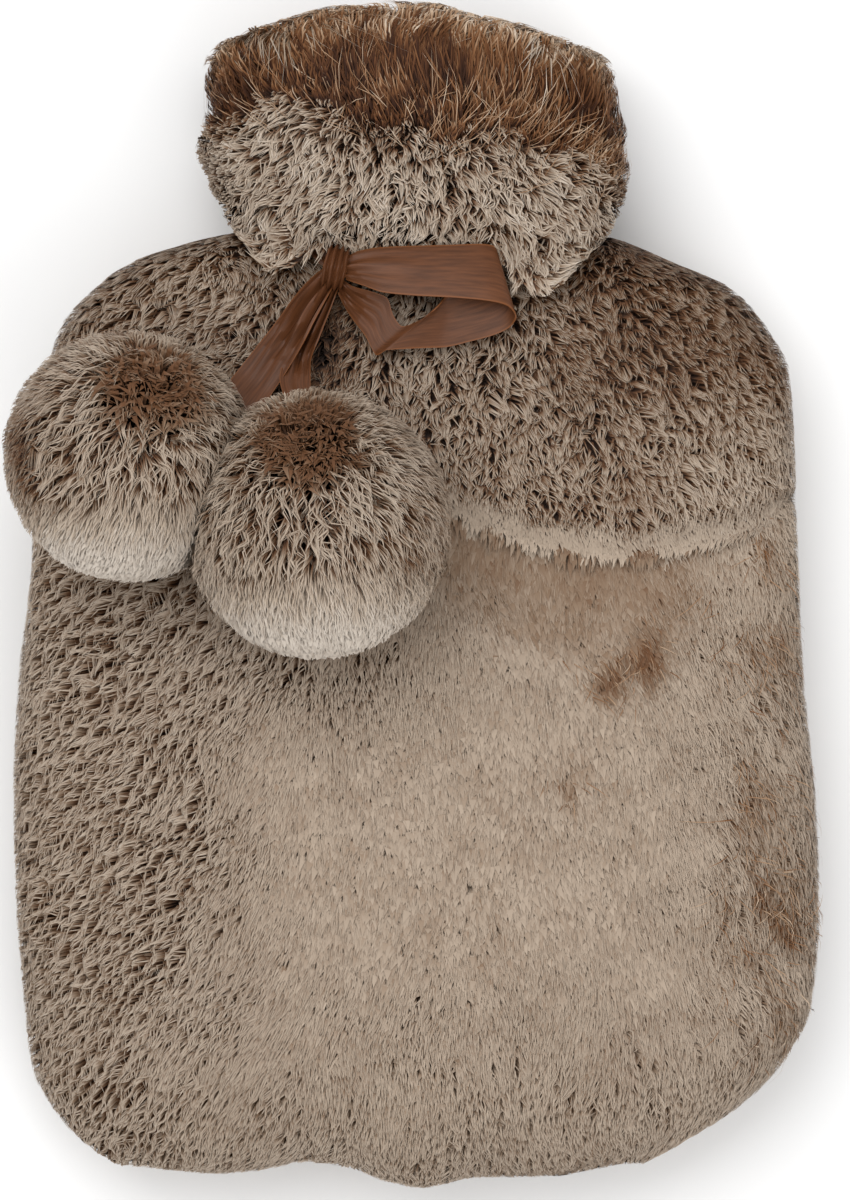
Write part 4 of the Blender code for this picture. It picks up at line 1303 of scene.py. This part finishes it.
CREST_LOOSE = dict(LOOSE, comb=crest_comb, wanted=crest_wanted, hold=(0, 1.45), width=0.2 * MM)
AROUND = (-math.pi, math.pi)
collar_fur = [
    fur("collar_guard_hair", collar, AROUND, (0.0, 1.5), COLLAR_GUARD, pile, 21),
    fur("collar_underfur", collar, AROUND, (0.0, 1.5), COLLAR_UNDER, pile, 22),
    fur("collar_fold_hair", collar, AROUND, (0.3, 1.5), CROWN, ginger, 24),
    fur("collar_fold_underfur", collar, AROUND, (0.3, 1.5), CROWN_UNDER, ginger, 25),
    fur("collar_loose_hair", collar, FRONT, (0.1, 1.3), CREST_LOOSE, ginger, 26),
    fur("mouth_fur", collar, AROUND, (1.45, 1.85), MOUTH, ginger, 23),
]
collar_cloth = cloth("collar_cloth", collar, AROUND, (run_start, mouth_end), (120, 60), backing)


# ---------------------------------------------------------------- pompoms

# brown places beside the pole: the middle across and along, the half width and half height, all in radii of
# the ball, and the strength
POMPOM_STAINS = {
    "pompom_left": [((-0.76, 0.06), (0.14, 0.42), 0.42)],
    "pompom_front": [((0.62, 0.05), (0.12, 0.30), 0.14), ((-0.10, 0.62), (0.30, 0.22), 0.10)],
}


def pompom_comb(name):
    """The comb of a ball: away from the pole, where the hairs stand up and are brown, and pale below, partly
    from its frosted tips and partly as painted light.
    """
    *centre, radius = POMPOMS[name]
    pole = POLES[name]

    def combed(here, normal, turn, run, chance):
        out = (here - centre) / radius
        away = -pole + np.array([0, -0.15, 0.0])
        way = np.broadcast_to(away, here.shape) + chance.normal(0, 0.15, here.shape)
        reach = (5 + 4 * ease(run, 0.1, 0.7)) * MM * chance.uniform(0.8, 1.2, len(turn))
        # pale below: partly the frosted tips seen end on, partly painted light on the ball's lower side
        low = ease(-out[:, 1], 0.18, 0.84)
        near = 1 - ease(run + 0.12 * patchy(out[:, 0], out[:, 1], 0.13, 33), 0.28, 0.44)
        uneven = 0.12 * patchy(out[:, 0] * radius, out[:, 1] * radius, 7 * MM, 31)
        shade = 0.66 + uneven * (1 - low) - 0.64 * near + 0.36 * low
        for middle, size, much in POMPOM_STAINS[name]:
            shade = shade - much * spot(*seen(out), middle, size)
        loose = (1.0 - low) * (1 - near)
        return way, reach, -0.06 + 0.08 * chance.uniform(0, 1, len(turn)), shade, loose

    return combed


def pompom_field(name):
    """The partings of a ball's pile, which spread from its pole and end at its pale lower rim."""
    cx, cy, _, radius = POMPOMS[name]
    pole = POLES[name]

    def field(x, y):
        across, along = (x - cx) / radius, (y - cy) / radius
        strength = 1.5 * (1 - ease(-along, 0.10, 0.65)) * (1 - ease(np.hypot(across, along), 0.75, 0.95))
        strength = strength * (1 - 0.5 * ease(across, 0.0, 0.6))
        strength = strength * ease(np.hypot(across - pole[0], along - pole[1]), 0.25, 0.45)
        lie = np.arctan2(across - pole[0], pole[1] - along)
        return strength, lie, 0.4

    return field


FROM_POLE = (0.02, math.pi - 0.02)
pompom_pieces = {}
for k, name in enumerate(POMPOMS):
    ball = pompom(name)
    shared = dict(comb=pompom_comb(name), wanted=all_wanted, partings=pompom_field(name), fade=(0.25, 1.0))
    tufts = dict(
        TUFTS, **shared, spacing=3.0 * MM, spread=2.6 * MM, hairs=11, width=0.38 * MM, roll=0.3,
        gather=(0.05, 0.25), mottle=0.07, own_side=0.1,
    )
    fluff = dict(UNDER, **shared, spacing=1.3 * MM, width=1.5 * MM, sink=0.2, slim=0.3)
    pompom_pieces[name] = [
        fur(name + "_guard_hair", ball, AROUND, FROM_POLE, tufts, pile, 41 + k),
        fur(name + "_underfur", ball, AROUND, FROM_POLE, fluff, pile, 51 + k),
        pompom_core(name, backing),
    ]


# ---------------------------------------------------------------- the ribbon

RIBBON_WIDTH = 15.5 * MM
SATIN_THICK = 0.35 * MM
PLEATS = 2.6  # pleats across the ribbon where it is drawn into the knot
KNOT = (-24.5 * MM, 102.3 * MM, 6.3 * MM)  # across, along, and up from the fur
KNOT_RADII = (6.2 * MM, 4.8 * MM)  # along and up
KNOT_WIDE = 7.5 * MM
KNOT_PLEAT = 0.8 * MM
KNOT_PLEATS = 3.5
KNOT_TILT = math.radians(-14)
BAND_WIDTH = 12 * MM
BAND_ALONG = 131 * MM  # the middle of the neck band
BAND_LIFT = 0.8 * MM  # over the fur
BAND_DIP_WIDTH = 11 * MM  # how far to each side of the knot the band is drawn down to it
BAND_AT_KNOT = 4 * MM
BAND_WAVE = 0.4 * MM  # the height of its pleats at the knot
KNOT_FROM = -0.6 * math.pi  # where the turn round the knot starts and ends
KNOT_TO = 1.5 * math.pi
KNOT_NARROW = 1.4 * MM  # how far its two sides are drawn in
KNOT_OVERLAP = 0.4 * MM  # how far its end lies over its start

# in millimetres: one edge's place across, along and up from the fur, the other edge's, how far the middle
# stands out, and how high the pleats are
LOOP = [
    (-21.5, 105.5, 8.5, -21.0, 98.5, 8.0, 1.0, 0.9),
    (-17.0, 107.5, 10.0, -16.0, 96.8, 9.5, 1.2, 0.6),
    (-10.0, 108.6, 11.2, -9.5, 94.6, 11.0, 1.2, 0.3),
    (0, 109.0, 12.0, 0.5, 93.6, 12.0, 1.0, 0.1),
    (11, 109.3, 12.3, 12, 93.0, 12.3, 0.8, 0),
    (19.5, 109.6, 12.2, 22.5, 92.0, 12.4, 0.5, 0),
    (23.6, 109.2, 11.2, 28.6, 90.4, 11.4, 0.3, 0),
    (25.6, 105.5, 8.9, 31.0, 87.2, 8.8, 0, 0),
    (25.6, 100.5, 6.9, 29.5, 84.4, 6.4, 0, 0),
    (22.0, 97.3, 5.8, 25.0, 81.9, 5.0, 0.3, 0),
    (14.5, 94.8, 5.2, 16.0, 79.4, 4.4, 0.6, 0),
    (10.8, 94.0, 5.4, 8.5, 77.8, 4.4, 0.8, 0),
    (9.3, 93.4, 6.2, 2.5, 77.6, 5.2, 0.6, 0),
    (8.0, 91.5, 8.2, -3.5, 77.3, 6.4, 0.8, 0),
    (5.0, 88.5, 8.6, -8.5, 77.0, 7.0, 0.4, 0),
    (0.5, 85.5, 7.0, -11.7, 75.4, 5.8, 0, 0),
    (-3.5, 84.2, 5.2, -12.4, 76.0, 4.2, 0, 0),
    (-6.5, 87.5, 4.8, -13.4, 77.8, 3.6, 0, 0.1),
    (-8.5, 93.0, 5.2, -15.3, 81.4, 4.0, 0.5, 0.3),
    (-14.0, 95.2, 5.6, -18.2, 85.2, 4.6, 0.8, 0.7),
    (-19.0, 96.6, 5.8, -21.5, 90.2, 5.2, 0.8, 0.9),
    (-22.0, 98.5, 5.8, -23.6, 94.5, 5.4, 0.5, 0.9),
]
LEFT_TAIL = [
    (-27.0, 103.0, 6.0, -24.0, 98.5, 6.5, 0.5, 1.0),
    (-31.5, 99.5, 5.0, -27.0, 93.0, 7.0, 1.0, 1.7),
    (-37.0, 93.5, 4.2, -30.5, 86.5, 6.8, 1.0, 1.9),
    (-42.0, 86.5, 3.8, -34.0, 79.5, 6.4, 0.9, 1.4),
    (-47.5, 79.5, 3.4, -38.0, 72.5, 6.0, 0.9, 0.8),
    (-53.0, 72.5, 3.6, -42.5, 65.5, 6.2, 0.8, 0.4),
    (-58.0, 66.0, 6.5, -47.5, 58.5, 8.8, 0.4, 0.1),
    (-60.5, 61.5, 9.0, -51.5, 54.5, 11.0, 0.2, 0.0),
]
FRONT_TAIL = [
    (-26.0, 101.0, 5.2, -22.5, 99.0, 5.2, 0.5, 0.9),
    (-29.5, 92.5, 4.2, -25.5, 90.5, 4.6, 0.8, 1.5),
    (-34.5, 84.0, 3.2, -29.0, 81.5, 4.0, 0.8, 1.4),
    (-39.5, 75.5, 3.6, -32.0, 72.5, 4.6, 0.6, 1.0),
    (-41.5, 68.5, 6.6, -32.0, 66.0, 7.8, 0.4, 0.3),
    (-40.0, 62.0, 11.0, -30.0, 61.0, 12.6, 0.2, 0.1),
]


def satin_sheet(name, upper, lower, share, along):
    """A closed satin sheet between two grids of points, mapped by the share across and the way in widths."""
    chart = np.stack(np.broadcast_arrays(share, along / RIBBON_WIDTH), axis=-1).reshape(-1, 2)
    return quad_object(name, *thick_patch(upper, lower), satin, np.concatenate([chart, chart]))


def satin_strip(name, table, rows, columns=15):
    """A thin satin sheet between two edges, which smooth curves carry through the table's stations.

    Across it the middle stands out by a parabola of the station's belly, and sine waves of the station's
    pleat run along it. Returns the sheet and its length.
    """
    table = np.array(table) * MM
    for k in (0, 3):
        table[:, k + 2] += fur_height(table[:, k], table[:, k + 1])
    middle = (table[:, :3] + table[:, 3:6]) / 2
    way = np.concatenate([[0], np.cumsum(length(np.diff(middle, axis=0)))])
    table = np.column_stack([way, table])
    at = np.linspace(0, way[-1], rows)
    one, other = (np.stack([smooth_through(table, at, k + m) for m in range(3)], axis=1) for k in (1, 4))
    belly, pleat = (smooth_through(table, at, k)[:, None] for k in (7, 8))
    share = np.linspace(0, 1, columns)[None, :]
    flat = one[:, None, :] + (other - one)[:, None, :] * share[..., None]
    along, across = np.gradient(flat, axis=0), np.gradient(flat, axis=1)
    facing = unit(np.cross(across, along))
    waves = np.sin(2 * math.pi * PLEATS * share + 1.3 * np.sin(at[:, None] / (9 * MM)))
    stands = belly * 4 * share * (1 - share) + pleat * waves * np.minimum(1, 6 * share * (1 - share))
    shaped = flat + facing * stands[..., None]
    half = facing * SATIN_THICK / 2
    return satin_sheet(name, shaped + half, shaped - half, share, at[:, None]), way[-1]


def knot_wrap():
    """The pleated turn of ribbon round the knot: an ellipse carried across, drawn in at both sides."""
    x, y, lift = KNOT
    middle = np.array([x, y, lift + float(fur_height(x, y))])
    around = np.linspace(KNOT_FROM, KNOT_TO, 56)[:, None]
    share = np.linspace(0, 1, 29)[None, :]
    aside = 2 * share - 1
    fatter = KNOT_OVERLAP * (around - KNOT_FROM) / (KNOT_TO - KNOT_FROM)
    pleat = KNOT_PLEAT * np.sin(2 * math.pi * KNOT_PLEATS * share + 0.8 * np.sin(1.7 * around))
    out = fatter + pleat - KNOT_NARROW * aside**4

    def ring(extra):
        up = (KNOT_RADII[1] + out + extra) * np.sin(around)
        along = (KNOT_RADII[0] + out + extra) * np.cos(around) + 0 * share
        across = KNOT_WIDE / 2 * aside * (1 - 0.12 * np.abs(np.cos(around))) + 0 * along
        turned_x = across * math.cos(KNOT_TILT) - along * math.sin(KNOT_TILT)
        turned_y = across * math.sin(KNOT_TILT) + along * math.cos(KNOT_TILT)
        return middle + np.stack([turned_x, turned_y, up + 0 * across], axis=-1)

    return satin_sheet("ribbon_knot", ring(SATIN_THICK), ring(0), share, around * KNOT_RADII[0])


def neck_band():
    """The ribbon round the neck, under the collar, which dips out of it at the knot."""
    turn = np.linspace(-0.51, 1.51, 132)[None, :] * math.pi
    share = np.linspace(0, 1, 9)[:, None]
    off_knot = BODY[-1, 2] * np.cos(turn) - KNOT[0]
    near_knot = np.exp(-((off_knot / BAND_DIP_WIDTH) ** 2)) * (np.sin(turn) > 0)
    along = BAND_ALONG + (KNOT[1] + BAND_AT_KNOT - BAND_ALONG) * near_knot
    up = BAND_WIDTH * (share - 0.5) * (1 - 0.35 * near_knot)
    wave = BAND_WAVE * np.sin(2 * math.pi * 2 * share)
    off = BAND_LIFT * (1 + 0.5 * near_knot) + wave * near_knot + BAND_WAVE
    upper, lower = (neck_point(turn, along + up, off + side * SATIN_THICK / 2) for side in (1, -1))
    return satin_sheet("ribbon_neck_band", upper, lower, share, turn * BODY[-1, 2])


ribbon_loop, loop_length = satin_strip("ribbon_loop", LOOP, 150)
ribbon_left_tail, left_length = satin_strip("ribbon_left_tail", LEFT_TAIL, 60)
ribbon_front_tail, front_length = satin_strip("ribbon_front_tail", FRONT_TAIL, 50)
ribbon_knot = knot_wrap()
ribbon_neck_band = neck_band()


# ---------------------------------------------------------------- the solids that the pieces stand for, hidden


def dress(solid, pieces):
    """Hides that CAD node, which these pieces stand for."""
    for piece in pieces:
        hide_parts(solid)


dress("front_lower_panel", [*lower_fur, front_lower_cloth])
dress("front_upper_panel", [*upper_fur, front_upper_cloth])
dress("back_panel", [*back_fur, back_cloth])
dress("collar", [*collar_fur, collar_cloth])
for name, pieces in pompom_pieces.items():
    dress(name, pieces)
dress("ribbon", [ribbon_loop, ribbon_left_tail, ribbon_front_tail, ribbon_knot, ribbon_neck_band])


# ---------------------------------------------------------------- stage

FLOOR_HALF = 3.0
SURROUND = 0.80  # the strength of the even light from all round
# name, place, size, power
LAMPS = [("key", (-0.5, 0.8, 1.8), 1.6, 22), ("fill", (0.7, -0.9, 1.5), 1.5, 9)]


def make_camera():
    """Straight above the photograph's middle, with a long lens, so that a pixel is its pitch at the seam."""
    camera = placed("camera", bpy.data.cameras.new("camera"))
    x = (PICTURE[0] / 2 - PICTURE_ZERO[0]) * PICTURE_PITCH
    y = (PICTURE_ZERO[1] - PICTURE[1] / 2) * PICTURE_PITCH
    camera.location = (x, y, SEAM_HEIGHT + CAMERA_HEIGHT)
    camera.data.sensor_width = SENSOR
    camera.data.lens = SENSOR * CAMERA_HEIGHT / (PICTURE[1] * PICTURE_PITCH)
    camera.data.clip_end = 20
    bpy.context.scene.camera = camera


def make_lamp(name, place, size, power):
    """A square lamp that faces the cover's middle."""
    lamp = placed(name, bpy.data.lights.new(name, "AREA"))
    lamp.data.size = size
    lamp.data.energy = power
    lamp.location = place
    lamp.rotation_mode = "QUATERNION"
    direction = -lamp.location.normalized()
    lamp.rotation_quaternion = direction.to_track_quat("-Z", "Y")


def make_stage():
    """A pale floor, an even pale surround and two soft lamps."""
    floor_mesh = bpy.data.meshes.new("floor")
    half = FLOOR_HALF
    corners = [(-half, -half, 0), (half, -half, 0), (half, half, 0), (-half, half, 0)]
    floor_mesh.from_pydata(corners, [], [(0, 1, 2, 3)])
    paper, _ = plain_material("pale_floor", (0.9, 0.9, 0.9), 0.9)
    floor_mesh.materials.append(paper)
    placed("floor", floor_mesh)
    world = bpy.data.worlds.new("surround")
    bpy.context.scene.world = world
    world.use_nodes = True
    background = world.node_tree.nodes["Background"]
    background.inputs["Color"].default_value = (1, 1, 1, 1)
    background.inputs["Strength"].default_value = SURROUND
    for lamp in LAMPS:
        make_lamp(*lamp)


make_camera()
make_stage()
bpy.context.scene.view_settings.view_transform = "Standard"
